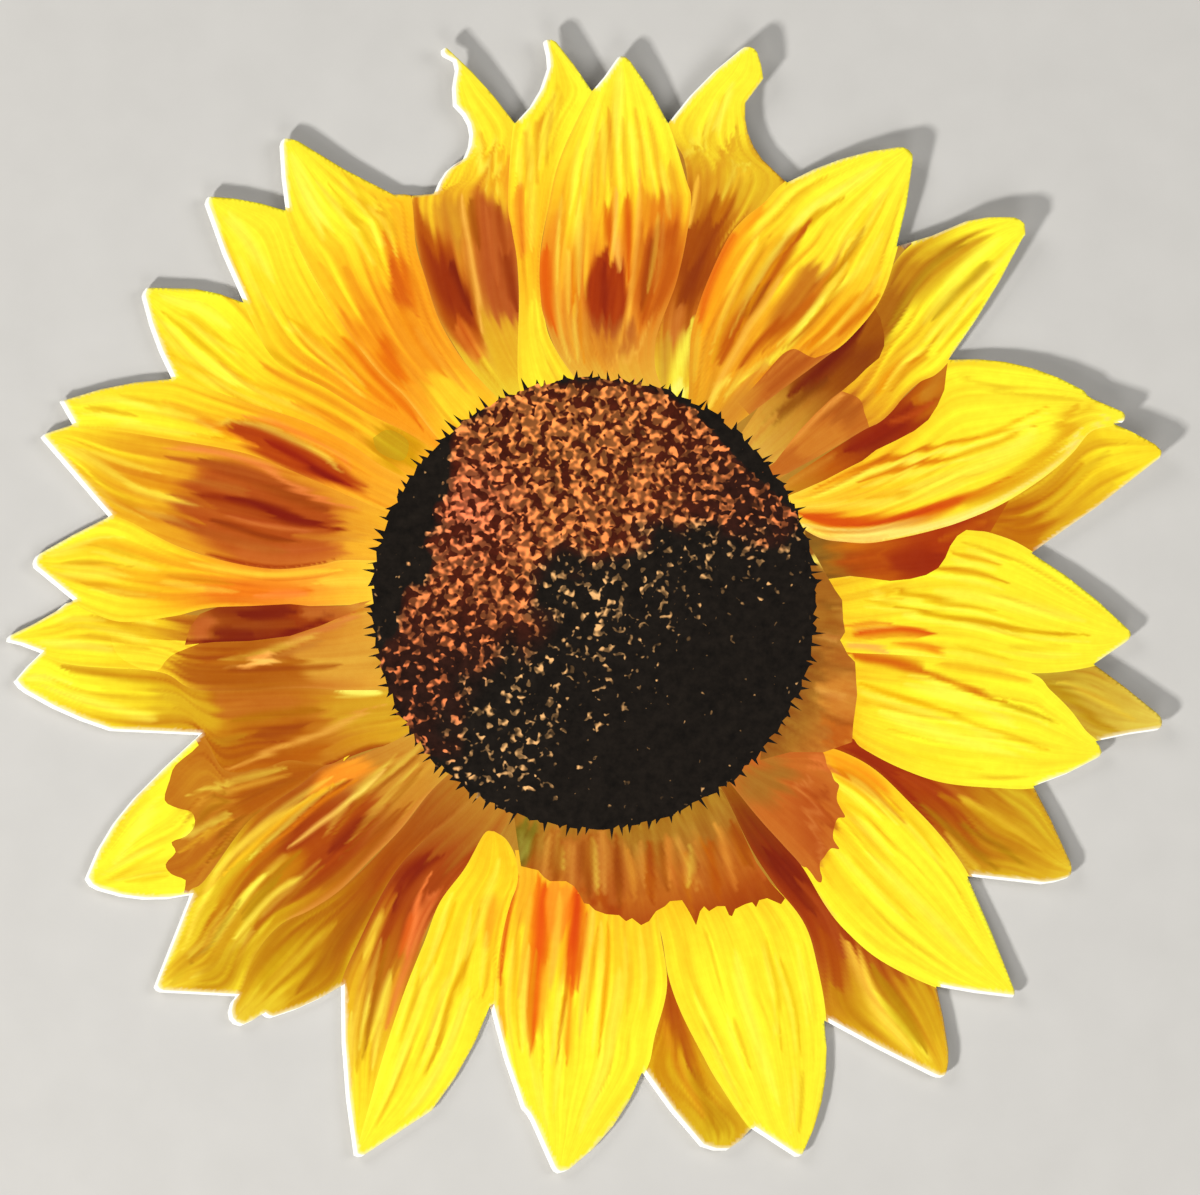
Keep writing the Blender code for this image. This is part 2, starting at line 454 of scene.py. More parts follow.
def creased(colour, across, along, half_width, count, seed):
    """The colour with fine creases along the petal: each is a thin dark line with a lit line beside it,
    each line a bell curve across, at its own seeded place, start and length, and it wanders a little on
    its way."""
    rng = np.random.default_rng(seed + 300)
    places = (np.arange(count) + rng.uniform(0.2, 0.8, count)) * CREASE_SPREAD / max(count, 1)
    for place in places - CREASE_SPREAD / 2:
        start, length, depth = rng.uniform(0.0, 0.55), rng.uniform(0.2, 0.45), rng.uniform(0.4, 1.0)
        left = start + length - along
        shown = smooth_step((along - start) / CREASE_RISE) * smooth_step(left / CREASE_FADE) * depth
        aside = (across - place - CREASE_SWAY * np.sin(9 * along + 20 * place)) * half_width
        for shift, width, tint in (CREASE_DARK, CREASE_LIT):
            line = shown * np.exp(-((aside - shift) / width) ** 2)
            colour = colour * (1 - line[:, None] * tint)
    return colour


def paint_area(area, number, points, owners):
    """The print's sRGB colour at each point of an area: the wash along it, its marks in order, seeded
    creases, streaks of veins that follow its sides, and a paler rim. Each streak noise is given by its
    width in pixels, its changes along the petal and where in its lattice it starts."""
    across, along, half_width = area_coordinates(area, points)
    widest = SHADE_HALF_WIDTH
    if area["rails"] is not None:
        widest = np.hypot(*(area["rails"][1] - area["rails"][0]).T).max() / 2
    broad, fine, hair = [
        value_noise(across * widest / width + start, along * changes + 5, number + 100 * turn) - 0.5
        for turn, (width, changes, start) in enumerate(STREAKS)]
    room = half_width / widest
    fine = fine * np.clip((room - FINE_ROOM[0]) / FINE_ROOM[1], 0, 1)
    hair = hair * np.clip((room - HAIR_ROOM[0]) / HAIR_ROOM[1], 0, 1)
    push = FEATHER * (fine + HAIR_PUSH * hair + BROAD_PUSH * broad)[:, None]
    points = points + way_outwards(area, points, along) * push
    along = np.clip(along + WASH_SHIFT * (fine + hair + broad), 0, 1)
    inks = np.array([ink(code) for code in area["wash"].split()])
    colour = read_off(along, np.linspace(0, 1, len(inks)), inks)
    for (dark, lit), cover, _ in area["marks"]:
        amount = cover(points, owners)[:, None]
        colour = colour * (1 - np.abs(amount)) + np.where(amount < 0, lit, dark) * np.abs(amount)
    colour = creased(colour, across, along, half_width, area["creases"], number)
    streak = area["veins"] * (BROAD_STREAK * broad + THIN_STREAK * fine + THIN_STREAK * hair)[:, None]
    colour = colour * (1 + streak * STREAK_TINT)
    edge = smooth_step(1 - (1 - np.abs(across)) * half_width / RIM_WIDTH)[:, None] * area["rim"]
    return np.clip(colour + (ink(CREAM) - colour) * edge, 0, 1)


def topmost_area(points):
    """The number of the area that lies on top at each point, or -1 where there is none."""
    top = np.full(len(points), -1)
    for number, area in enumerate(AREAS):
        near = near_box(points, area["outline"], 1)
        if len(near):
            top[near[inside(points[near], area["outline"])]] = number
    return top


# %% [markdown]
# The dark disc in the middle is packed with florets, lit at the upper left and black where it dips. Its edge
# is a ring of small pointed bracts. A circle would look like a coin, so the edge is a line that goes out and
# in at every bract, each tip with its own length and place from a seeded generator. The outlines of the lit
# and the dim florets are pushed to and fro by noise, so that the light ends raggedly, floret by floret.

# %% The disc's edge
BRACTS = 134
BRACT_LENGTHS = (-1.0, 3.0, 6.5, 10.0)
BRACT_SHARES = (0.25, 0.30, 0.30, 0.15)
EDGE_RADII = np.array([224.5, 227.5])
rng = np.random.default_rng(7)
pitch = 2 * np.pi / BRACTS
places = (np.arange(BRACTS) + rng.uniform(-0.26, 0.26, BRACTS)) * pitch
half_base = rng.uniform(0.12, 0.24, BRACTS) * pitch
lean = rng.uniform(-0.30, 0.30, BRACTS) * pitch
reach = rng.choice(BRACT_LENGTHS, BRACTS, p=BRACT_SHARES) + rng.uniform(-1.5, 1.5, BRACTS)
edge_angles = np.stack([places - half_base, places + lean, places + half_base], 1).ravel()
edge_reach = np.stack([rng.uniform(-5, 0, BRACTS), reach, rng.uniform(-5, 0, BRACTS)], 1).ravel()
directions = np.stack([np.cos(edge_angles), np.sin(edge_angles)], 1)
DISC_EDGE = DISC_CENTRE + (EDGE_RADII + edge_reach[:, None]) * directions
print("disc edge:", len(DISC_EDGE), "points")

# %% The light on the florets
LIT_FLORETS = smooth_line(pixels(
    "447,440 443,470 440,490 437,520 430,540 425,560 417,575 410,600 400,615 388,632 370,640 375,690 395,735 "
    "425,780 450,740 470,690 500,655 535,640 530,600 535,570 560,555 620,555 640,530 700,530 740,540 795,530 "
    "830,520 800,462 748,412 690,388 640,374 600,358 520,368 468,405 447,440"))[:-1]
DIM_FLORETS = smooth_line(pixels(
    "400,600 370,660 400,760 450,810 520,800 580,740 640,690 690,620 740,590 815,570 820,500 700,470 560,500 "
    "400,600"))[:-1]
RAGGED_STEP, RAGGED_REACH = 17, 34
LIT_EDGE, DIM_EDGE = 30.0, 90.0
WARM_PLACE, WARM_RADIUS = np.array([560, 420]), 260
ROSY_PLACE, ROSY_RADIUS = np.array([468, 510]), 80
PLAIN_FLORET, WARM_FLORET, ROSY_FLORET, DIM_FLORET = "AA5C42", "BC7046", "C06450", "A88064"
RIM_START, RIM_FADE, RIM_UPPER_RIGHT = 222, 8, 20
RIM_ANGLE, RIM_SPREAD = -0.80, 0.55
BELOW, RIGHT, RIGHT_BELOW = (560, 120), (640, 110), (400, 90)
THINNER_BELOW, THINNER_RIGHT, DIM_THICKNESS = 0.38, 0.34, 0.50


def near_place(points, place, radius, full=1.0):
    """Full at the place and less with the distance from it, down to 0 past the radius."""
    return np.clip(full - np.hypot(*(points - place).T) / radius, 0, 1)[:, None]


def disc_paint(points):
    """The colour of the disc's florets at each point, and how thickly they stand: full in the lit part,
    thinning out over the dim one, fewer below and at the right, and none at the rim, which is widest at
    the upper right. Each pair says in pixels where a change begins and over how many it comes."""
    ragged = np.stack([value_noise(*(points.T / RAGGED_STEP), seed) - 0.5 for seed in (61, 62)], 1)
    wandering = points + RAGGED_REACH * ragged
    lit = soft_cover(wandering, LIT_FLORETS, LIT_EDGE)
    dim = soft_cover(wandering, DIM_FLORETS, DIM_EDGE)
    away = points - DISC_CENTRE
    radius, angle = np.hypot(*away.T), np.arctan2(away[:, 1], away[:, 0])
    upper_right = smooth_step(1 - np.abs(angle - RIM_ANGLE) / RIM_SPREAD)
    rim = smooth_step((radius - RIM_START + RIM_UPPER_RIGHT * upper_right) / RIM_FADE)
    warm = near_place(points, WARM_PLACE, WARM_RADIUS, 1.15)
    rosy = near_place(points, ROSY_PLACE, ROSY_RADIUS)
    colour = ink(PLAIN_FLORET) * (1 - warm) + ink(WARM_FLORET) * warm
    colour = colour + (ink(ROSY_FLORET) - colour) * rosy
    colour = ink(DIM_FLORET) * (1 - lit[:, None]) + colour * lit[:, None]
    below = smooth_step((points[:, 1] - BELOW[0]) / BELOW[1])
    right = smooth_step((points[:, 0] - RIGHT[0]) / RIGHT[1])
    right = right * smooth_step((points[:, 1] - RIGHT_BELOW[0]) / RIGHT_BELOW[1])
    thickly = lit * (1 - THINNER_BELOW * below - THINNER_RIGHT * right) + DIM_THICKNESS * dim * (1 - lit)
    return colour, np.clip(thickly, 0, 1) * (1 - rim)


# %% [markdown]
# The picture is built from back to front, as a painter would. First come the dark places between petals, then
# the petals behind, then those in front, and last the disc's own shadow on the petals below it and to its
# right. Each petal gets a wash from its base to its tip, then its folds, blushes and highlights as marks. A
# petal is named for the hour that it points to on a clock face.

# %% The dark places between the petals
UNDER_RADIUS = 470
turns = np.linspace(0, 2 * np.pi, 60, endpoint=False)
shade("under_all", DISC_CENTRE + UNDER_RADIUS * np.stack([np.cos(turns), np.sin(turns)], 1),
      "B88438 A86424 94501C 8A4A18")
print("areas so far:", len(AREAS), "on top:", AREAS[-1]["name"])

# %% Petals behind, right
petal("half_past_two",
      "850,562 900,545 960,520 1040,478 1085,430 1147,438 1163,454",
      "870,575 938,568 965,532 1000,538 1031,555 1095,535 1142,495 1163,454",
      "A85010 B86410 C88018 DCA826 F0C828 FFEE3C", [
    patch("B86010", 26, 0.7, "955,525 1010,505 1045,520 1035,550 975,545"),
    stroke("C88010", 9, 0.6, "985,535 1020,515 1055,490 1090,455"),
    stroke("E0B02C", 10, 0.6, "1040,540 1080,515 1120,480"),
    patch("F8DC30", 18, 0.9, "1095,425 1150,438 1163,454 1140,475 1110,462"),
    stroke("D8A824", 8, 0.5, "1020,520 1060,492 1095,462 1120,445"),
])
petal("upper_back",
      "985,672 1040,668 1093,662 1156,710 1164,722",
      "985,690 1040,715 1095,744 1140,738 1164,722",
      "A88420 BC9830 CCA83C D4B048 E4C860", [
    stroke("B88A14", 10, 0.7, "1040,680 1070,700 1095,722 1120,732"),
    stroke("E8C040", 7, 0.6, "1060,680 1100,700 1140,722"),
])
print("areas so far:", len(AREAS), "on top:", AREAS[-1]["name"])

# %% Petals behind, below and left
petal("six_back",
      "667,975 662,1010 655,1035 640,1074 672,1122 700,1149 718,1154",
      "668,975 680,1010 700,1050 720,1085 754,1128 730,1152 718,1154",
      "A83C08 C06810 D09018 DCAE26 DCB828 E4BE34", [
    stroke("A84808", 12, 0.7, "667,990 672,1015 680,1040 690,1070"),
    stroke("D88A20", 7, 0.6, "664,1025 672,1055 690,1090 705,1120"),
    stroke("B87C10", 9, 0.6, "690,1060 700,1090 712,1125"),
    patch("B88014", 16, 0.5, "705,1100 725,1105 728,1130 708,1130"),
], veins=0.11)
petal("torn",
      "460,765 432,790 400,830 340,890 280,925 250,960 234,996 225,1012 240,1029",
      "485,785 455,815 430,835 405,860 380,900 355,950 342,988 300,1010 270,1021 240,1029",
      "B87C30 A85820 A85014 B46C14 C8941C DCB024 F4DC60", [
    stroke("A86010", 12, 0.7, "380,890 350,925 325,960 300,990"),
    stroke("E0B830", 7, 0.6, "340,920 300,955 268,990"),
    stroke("C08C14", 8, 0.6, "300,930 272,965 252,1000"),
    patch("E8C838", 14, 0.7, "250,990 290,995 280,1012 245,1018"),
])
petal("hooked",
      "492,395 472,372 455,347 436,312 421,262 411,200 434,191 445,173 463,160 458,135 453,107 453,72 "
      "441,56 443,47",
      "545,380 530,340 520,300 517,250 516,200 518,124 482,85 443,47",
      "F0D040 ECC438 E0A038 D88434 DC8C2C F0B430 FFDC36 FFE83A FFF040 FFF040", [
    patch("B04C14", 14, 0.9, "414,204 430,222 444,240 456,262 468,285 478,315 480,340 468,350 448,335 "
        "432,300 420,260"),
    patch("96300E", 16, 0.9, "424,245 442,252 458,280 472,310 468,325 450,312 434,285"),
    stroke("7A2008", 8, 0.8, "450,268 460,285 470,308"),
    stroke("E07830", 16, 0.8, "455,322 468,340 482,362"),
    patch("D08A30", 18, 0.8, "436,205 460,205 466,245 448,240"),
    stroke("E0A030", 8, 0.7, "440,185 452,215 462,240"),
    patch("B4502A", 20, 0.85, "474,200 508,205 518,250 519,310 500,322 484,300 476,250"),
    stroke("A05010", 7, 0.7, "470,205 474,228 480,255"),
    stroke("A04018", 7, 0.7, "497,195 500,220 504,245"),
    stroke("8A2E10", 11, 0.7, "503,240 509,270 514,302"),
    stroke("CC6C38", 5, 0.6, "486,210 492,250 498,290"),
    stroke("FFC060", 5, 0.85, "461,195 465,225 470,250 474,275 480,305 485,345"),
    stroke("F08C28", 10, 0.6, "508,160 512,200 516,230"),
    patch("E8B030", 16, 0.7, "490,325 522,320 530,372 500,378"),
    fold("E89C20", 6, 0.6, "480,130 488,160 494,195"),
    stroke("FFF060", 6, 0.6, "470,110 480,145 484,180"),
    fold("F0A428", 5, 0.6, "500,140 503,165 506,190"),
    patch("B8B0A0", 8, 0.8, "441,48 452,60 456,74 450,76 441,60"),
], veins=0.04, creases=4)
petal("narrow_top",
      "518,378 519,300 517,260 512,230 508,200 514,124 530,95 545,70 541,44 547,38",
      "580,385 556,350 545,320 540,260 549,205 558,165 575,125 593,92 575,70 553,43 547,38",
      "FFE03C FFE038 FFD034 FCBC2C FFC82E FFE034 FFEA38 FFEE3C FFF040", [
    stroke("F08C28", 12, 0.8, "519,185 521,220 523,258"),
    stroke("FFDC48", 9, 0.8, "532,165 532,210 532,250"),
    stroke("FFF040", 12, 0.8, "534,295 538,335 550,372"),
    fold("E8A028", 6, 0.6, "535,120 536,150 538,185"),
    fold("E09820", 5, 0.6, "550,110 548,140 546,170"),
    fold("F0B030", 5, 0.6, "525,130 526,160 527,190"),
    fold("F0C030", 6, 0.5, "560,95 556,125 552,155"),
])
petal("bitten",
      "655,400 655,320 670,260 686,200 684,160 667,124 700,90 737,50 749,45",
      "716,400 709,330 724,285 746,248 776,215 795,184 766,160 752,125 748,104 766,80 759,54 749,45",
      "FFF038 F0C838 C87028 A04810 A85010 D8962A F0CC34 FFE83C FFF040 FFF040", [
    stroke("8A3408", 14, 0.8, "712,215 702,245 692,280 680,308"),
    stroke("A85010", 16, 0.7, "720,195 705,230 690,265"),
    stroke("FFC850", 5, 0.85, "697,180 693,202 688,232"),
    stroke("D07838", 12, 0.8, "682,300 677,320 670,345"),
    stroke("D0A040", 12, 0.7, "668,335 664,360 662,385"),
    stroke("FFF860", 12, 0.9, "692,318 684,345 677,375 675,398"),
    patch("FFFF90", 8, 0.9, "670,386 682,382 688,392 676,400"),
    stroke("D89428", 9, 0.7, "735,130 722,160 705,195 694,225"),
    stroke("C87818", 8, 0.7, "738,185 725,205 714,230"),
    patch("E0B02C", 18, 0.7, "735,135 760,160 786,184 745,205 725,190"),
    fold("F8C838", 6, 0.6, "750,160 740,180 730,200"),
    fold("D8A028", 5, 0.6, "705,120 700,145 692,175"),
    fold("E8B82C", 5, 0.6, "725,95 716,125 706,155"),
    stroke("FFF870", 6, 0.6, "735,80 725,105 712,135"),
], veins=0.04, creases=4)
print("areas so far:", len(AREAS), "on top:", AREAS[-1]["name"])

# %% [markdown]
# The petals at the right lie in full light, so they are almost plain yellow, with thin creases that run
# towards the tip. Between them deeper petals show in a warm dark shade. A deeper one is drawn before the one
# that covers it, so its hidden side can be a plain smooth line.

# %% Petals, right
petal("three",
      "810,580 840,566 880,550 925,535 965,529 1000,536 1031,551 1085,590 1127,627 1133,635",
      "830,640 845,652 900,655 960,660 1030,673 1093,666 1120,650 1133,635",
      "F0B028 FFDC34 FFEC38 FFF03A FFF03C FFF040", [
    fold("E8A018", 5, 0.8, "948,552 965,556 985,560 1005,567"),
    fold("D88C10", 6, 0.8, "938,568 960,570 985,575 1005,582"),
    fold("E8B020", 4, 0.6, "960,542 985,550 1010,560"),
    fold("E0A010", 5, 0.8, "885,588 905,593 930,597 950,601 975,606 1005,614"),
    fold("F0B818", 4, 0.6, "860,586 880,592 905,600"),
    fold("E8B018", 4, 0.6, "870,600 900,604 930,611"),
    fold("D89808", 5, 0.85, "900,606 930,612 960,618 985,622 1010,627 1045,632 1090,635"),
    stroke("E05010", (4, 6), 0.9, "846,636 858,632 872,630 890,629 908,631 926,636"),
    fold("E87820", 4, 0.7, "850,626 875,622 900,622"),
    stroke("FFB060", 6, 0.85, "848,645 865,645 880,647 898,652"),
    fold("F08818", 5, 0.85, "893,643 915,645 932,649 950,655"),
    stroke("FFF860", 12, 0.6, "930,590 980,598 1030,608 1080,620"),
    fold("E8C028", 5, 0.5, "1000,645 1040,648 1080,648"),
    fold("F0C820", 5, 0.5, "945,645 975,650 1005,658"),
    patch("F8D030", 14, 0.6, "830,582 870,578 900,584 870,592 835,592"),
    stroke("FFF0B0", 6, 0.8, "812,558 830,564 852,567"),
    stroke("FFE890", 4, 0.7, "822,572 845,574 870,575"),
], veins=0.06)
shade("under_two_o_clock",
      pixels("806,560 805,530 850,542 900,536 960,518 1010,498 990,532 966,530 957,536 950,546 945,558 "
             "938,568 926,575 910,579 890,581 868,578 850,576 828,579 818,570"),
      "8A6028 C86818 B04018 A83410 B86014", [
    patch("9A2C04", 16, 0.8, "890,552 925,545 940,555 925,576 890,574"),
    patch("A83C14", 12, 0.6, "845,552 880,550 880,574 845,574"),
    patch("8A6028", 12, 0.7, "800,538 828,542 826,562 800,566"),
    stroke("C86818", 8, 0.6, "940,540 965,530 990,520"),
])
petal("lower_back",
      "825,735 880,738 940,742 995,758 1034,784 1053,818 1067,852 1074,868",
      "822,745 850,755 878,772 910,803 940,835 967,878 1005,884 1040,887 1069,880 1074,868",
      "A84010 A03408 A43810 B05416 C07C1C D09C24 DCB02C E8C840", [
    stroke("982C04", 14, 0.8, "848,748 872,762 892,780 912,802 930,826"),
    stroke("B04820", 12, 0.7, "895,772 925,785 958,798 985,812"),
    stroke("C88C18", 8, 0.7, "930,790 965,805 1000,825 1040,850"),
    stroke("A87810", 6, 0.7, "915,800 945,825 975,852 1000,872"),
    stroke("E8C038", 7, 0.7, "960,800 1000,820 1040,848"),
    stroke("A88010", 6, 0.6, "950,815 985,838 1020,862"),
    fold("ECC840", 6, 0.6, "940,828 965,855 985,875"),
    patch("D8B430", 16, 0.6, "1000,792 1032,792 1055,840 1030,830"),
], veins=0.11)
print("areas so far:", len(AREAS), "on top:", AREAS[-1]["name"])

# %% [markdown]
# The upper right petals overlap most. Their bases are brown where a neighbour shades them, and that shade
# ends in a sharp line, so it is a sharp patch, which the mesh follows with its edges.

# %% Petals, upper right
petal("two",
      "774,499 808,485 850,455 890,418 925,378 952,356 1010,362 1065,376 1095,393 1119,408 1128,416",
      "776,503 797,524 820,538 845,542 870,543 900,538 930,531 960,522 1000,505 1040,480 1070,455 "
      "1090,432 1112,426 1128,416",
      "FFE058 FFCC38 FFD030 FFE034 FFF03A FFF23C FFF03C FFF040", [
    fold("E88814", 6, 0.85, "812,492 835,480 862,468 892,458 930,448"),
    fold("D87810", 5, 0.85, "850,472 878,461 905,454 940,446 975,438"),
    fold("F0A818", 5, 0.7, "930,449 970,440 1005,428 1050,405"),
    fold("E07C10", 5, 0.85, "858,482 882,474 908,467 935,461 962,454"),
    fold("E8A018", 5, 0.7, "945,460 975,450 1005,440 1035,425"),
    fold("FFC838", 6, 0.6, "800,500 835,497 875,495 925,484"),
    fold("F0B020", 5, 0.5, "860,500 900,495 940,485 975,474"),
    stroke("FFFA60", 12, 0.6, "900,492 950,478 1000,455 1045,425"),
    stroke("E8C028", 7, 0.6, "960,375 1000,392 1040,398 1080,402"),
    stroke("E8B820", 9, 0.7, "985,490 1030,462 1065,428 1095,402"),
    stroke("F09828", 10, 0.85, "795,512 815,516 838,519 862,521"),
    stroke("DC5008", (6, 9), 0.95, "805,516 835,520 868,522 902,519 932,510 962,500"),
    stroke("D04008", 7, 0.8, "845,524 872,525 900,521 925,514"),
    stroke("E09018", 7, 0.8, "930,510 965,499 995,487 1030,465"),
    stroke("FFC070", 7, 0.95, "795,522 806,532 822,538 846,541 872,541 902,536"),
    stroke("FFE470", 9, 0.9, "885,538 930,529 960,520 1000,502 1040,477 1070,452 1092,428 1110,412"),
    patch("F0CC30", 12, 0.6, "1060,405 1095,402 1092,420 1062,440"),
    stroke("D8520C", 9, 0.85, "800,514 854,521 915,513 972,496 1010,476"),
    stroke("E4A820", 14, 0.75, "955,508 1010,482 1050,447 1078,402"),
    stroke("FFE890", 8, 0.9, "795,523 854,536 925,527 990,506 1045,468 1080,428"),
], veins=0.06)
shade("under_half_past_one",
      pixels("765,505 790,478 835,448 866,428 893,408 922,380 949,352 946,372 944,390 937,406 928,420 "
             "914,431 895,441 876,450 862,461 846,469 825,480 800,491"),
      "C88828 C06018 9A3808 9A3008 B85C14 C87820", [
    stroke("8A2004", 16, 0.8, "845,452 870,440 900,418 925,395"),
    stroke("C85828", 7, 0.7, "890,422 910,416 930,404"),
    stroke("D08838", 8, 0.6, "785,484 810,470 835,455"),
    patch("C07828", 10, 0.7, "930,385 948,362 944,385 935,402"),
])
petal("half_past_one",
      "760,470 800,425 832,385 855,340 878,290 905,250 940,228 972,217 1008,215 1027,230",
      "785,475 830,450 864,430 880,422 893,410 905,395 920,382 935,375 950,360 985,315 1010,275 1024,240 "
      "1027,230",
      "C48030 D88C3C CC7A2C F0B42C FADA32 FEE838 FFF03A FFF23C FFF240", [
    sharp_patch("C46C2C", 0.95, "750,480 800,425 832,390 840,391 852,395 860,400 864,412 865,440 "
        "800,470"),
    patch("B05C24", 14, 0.7, "822,404 848,398 860,412 850,424 828,420"),
    patch("D88838", 12, 0.7, "790,435 820,425 845,430 840,452 800,458"),
    stroke("F0A050", 6, 0.8, "848,390 832,402 815,417 798,434 782,450"),
    patch("A2581A", 14, 0.9, "858,325 880,292 900,258 925,262 908,300 892,330 880,350 862,350"),
    patch("C88C20", 20, 0.75, "895,248 955,236 985,238 950,275 915,300 900,280"),
    stroke("A87418", 9, 0.7, "970,240 935,262 905,300 888,338"),
    stroke("B89020", 7, 0.7, "985,262 965,285 948,300 925,330"),
    stroke("FFF858", 10, 0.7, "1005,235 970,262 940,300 915,335"),
    fold("E0A818", 6, 0.7, "1000,268 975,295 950,325 925,350"),
    stroke("F0A018", 9, 0.85, "918,358 900,368 885,382 872,398"),
    fold("D88818", 6, 0.7, "935,350 910,368 890,392"),
    fold("E8B820", 6, 0.6, "985,300 962,325 940,348"),
    stroke("FFF870", 6, 0.5, "1012,245 990,275 968,305"),
], veins=0.09)
shade("under_one_o_clock",
      pixels("730,450 760,405 800,370 850,330 872,305 880,318 884,335 884,346 879,358 866,369 855,380 "
             "843,390 832,398 815,414 798,432 775,462 750,480"),
      "DCA850 CC9038 9A5018 8C4010 A05414", [
    stroke("6E1A04", 16, 0.8, "790,395 815,375 840,350 865,325"),
    stroke("7A3A0C", 10, 0.6, "770,420 795,402 830,378"),
    stroke("A85C18", 8, 0.6, "860,340 875,315 888,280"),
    patch("DCA044", 14, 0.8, "728,420 752,408 765,425 745,445"),
])
petal("one",
      "688,400 690,350 693,325 706,285 727,240 744,219 764,203 787,181 840,160 898,145 913,151",
      "730,430 775,395 822,360 850,338 880,300 897,249 908,200 915,162 913,151",
      "E0A030 E8A02C F0A02A F4A82A F8B82A FFD432 FFE638 FFF03C FFF240 FFF040", [
    stroke("E86818", 16, 0.85, "735,235 718,262 706,292 698,325"),
    stroke("FFA020", 12, 0.8, "762,208 742,235 728,265 716,300 706,330"),
    stroke("F0C848", 8, 0.6, "702,325 698,350 694,385"),
    fold("D89810", 6, 0.8, "848,195 815,215 800,235 786,255 770,280 752,305"),
    stroke("B85010", (6, 11), 0.9, "812,222 795,244 778,268 762,292 744,318 732,340 718,368"),
    stroke("9A4410", 9, 0.8, "772,278 758,298 745,316"),
    stroke("F8B850", 7, 0.85, "785,270 770,298 752,322 740,345 722,376 710,402"),
    patch("C06C24", 14, 0.85, "806,262 822,262 822,285 815,305 795,322 770,330 776,308 792,285"),
    stroke("B85010", 9, 0.85, "818,290 798,312 775,328 752,350 738,372"),
    stroke("C86818", 7, 0.8, "835,262 822,285 806,308 785,330 765,348"),
    stroke("FFF050", 8, 0.9, "880,235 860,268 842,285 825,300 810,318 796,336 782,352 760,370 738,382"),
    fold("C07808", 6, 0.8, "860,232 848,255 836,272 822,288"),
    stroke("E88810", 9, 0.85, "868,290 848,310 830,328 812,345 795,352"),
    stroke("FFE050", 5, 0.8, "882,272 860,300 845,318 830,335 812,350"),
    stroke("D87010", 6, 0.7, "876,300 858,318 842,334 828,348"),
    fold("F0C020", 6, 0.5, "880,195 862,220 845,245"),
    stroke("FFFA70", 10, 0.5, "880,165 850,185 815,205 785,235"),
    fold("E8B020", 6, 0.5, "830,175 800,195 775,220 755,250"),
    sharp_patch("C0662C", 0.9, "738,402 755,385 770,368 783,354 794,349 803,353 815,358 836,352 800,392 "
        "765,425"),
    patch("D89038", 16, 0.9, "715,415 742,388 758,392 745,415 725,440"),
    stroke("B05420", 10, 0.6, "806,360 785,378 765,396"),
    stroke("FFE060", 6, 0.8, "735,370 720,385 708,408"),
    fold("E8A040", 6, 0.7, "770,365 750,380 730,402"),
    fold("E09010", 5, 0.7, "800,230 775,265 755,300 735,340"),
    fold("C87018", 5, 0.8, "830,300 805,330 780,352"),
    fold("D88818", 5, 0.7, "850,270 825,305 800,335"),
    fold("E0A020", 5, 0.6, "770,235 748,275 728,320 715,360"),
    fold("F0B820", 5, 0.6, "890,190 870,230 845,270"),
], veins=0.09)
print("areas so far:", len(AREAS), "on top:", AREAS[-1]["name"])

# %% Petals, lower right
petal("half_past_three",
      "830,645 845,652 900,655 960,660 1030,673 1050,690 1070,710 1085,730 1097,741 1104,752",
      "835,735 852,738 862,748 900,768 945,783 1000,788 1033,788 1070,777 1096,761 1104,752",
      "F8C028 FFE034 FFF038 FFF23A FFF23C FFF040", [
    stroke("D05808", (7, 5), 0.9, "852,656 872,659 890,662 908,667 928,673"),
    fold("D87810", 6, 0.85, "905,666 928,673 947,681 967,688 987,696 1010,704"),
    fold("C89010", 4, 0.7, "985,696 1008,704 1035,714 1058,724"),
    stroke("F0A820", 8, 0.6, "930,662 965,668 1000,674 1030,682"),
    fold("F0B010", 6, 0.85, "858,682 880,690 905,698 935,708 960,717"),
    fold("F0C020", 5, 0.7, "940,710 968,720 1000,733 1042,748"),
    stroke("FFF868", 12, 0.6, "880,710 920,725 965,740 1020,755"),
    stroke("F8D828", 6, 0.5, "870,735 905,750 945,762 990,770"),
    stroke("F8C828", 9, 0.6, "850,670 856,690 858,715 856,735"),
    stroke("FFF870", 8, 0.5, "900,682 945,695 985,712 1025,730"),
], veins=0.05)
petal("five_back",
      "745,785 800,820 850,862 895,912 937,984 951,1050 949,1072 940,1080",
      "725,795 752,850 780,892 805,925 817,965 823,1022 870,1053 930,1078 940,1080",
      "A06820 8A3C10 8A2C08 A03A14 B0541C CC8C20 E4B62A F0CC38", [
    stroke("7A2004", 14, 0.8, "765,850 785,868 802,890 815,915"),
    stroke("A84420", 14, 0.7, "800,880 822,910 838,940 850,968"),
    stroke("B05010", 10, 0.7, "822,930 834,958 842,990"),
    stroke("C89018", 12, 0.7, "832,985 848,1008 870,1032"),
    stroke("FFD050", (5, 7), 0.9, "846,938 856,958 868,985 888,1020 918,1058"),
    stroke("F8E048", 8, 0.8, "880,1000 905,1030 932,1062"),
    stroke("B88814", (4, 8), 0.8, "870,962 890,990 908,1020 925,1050"),
    patch("D8AC24", 14, 0.7, "895,975 932,985 940,1030 925,1030"),
])
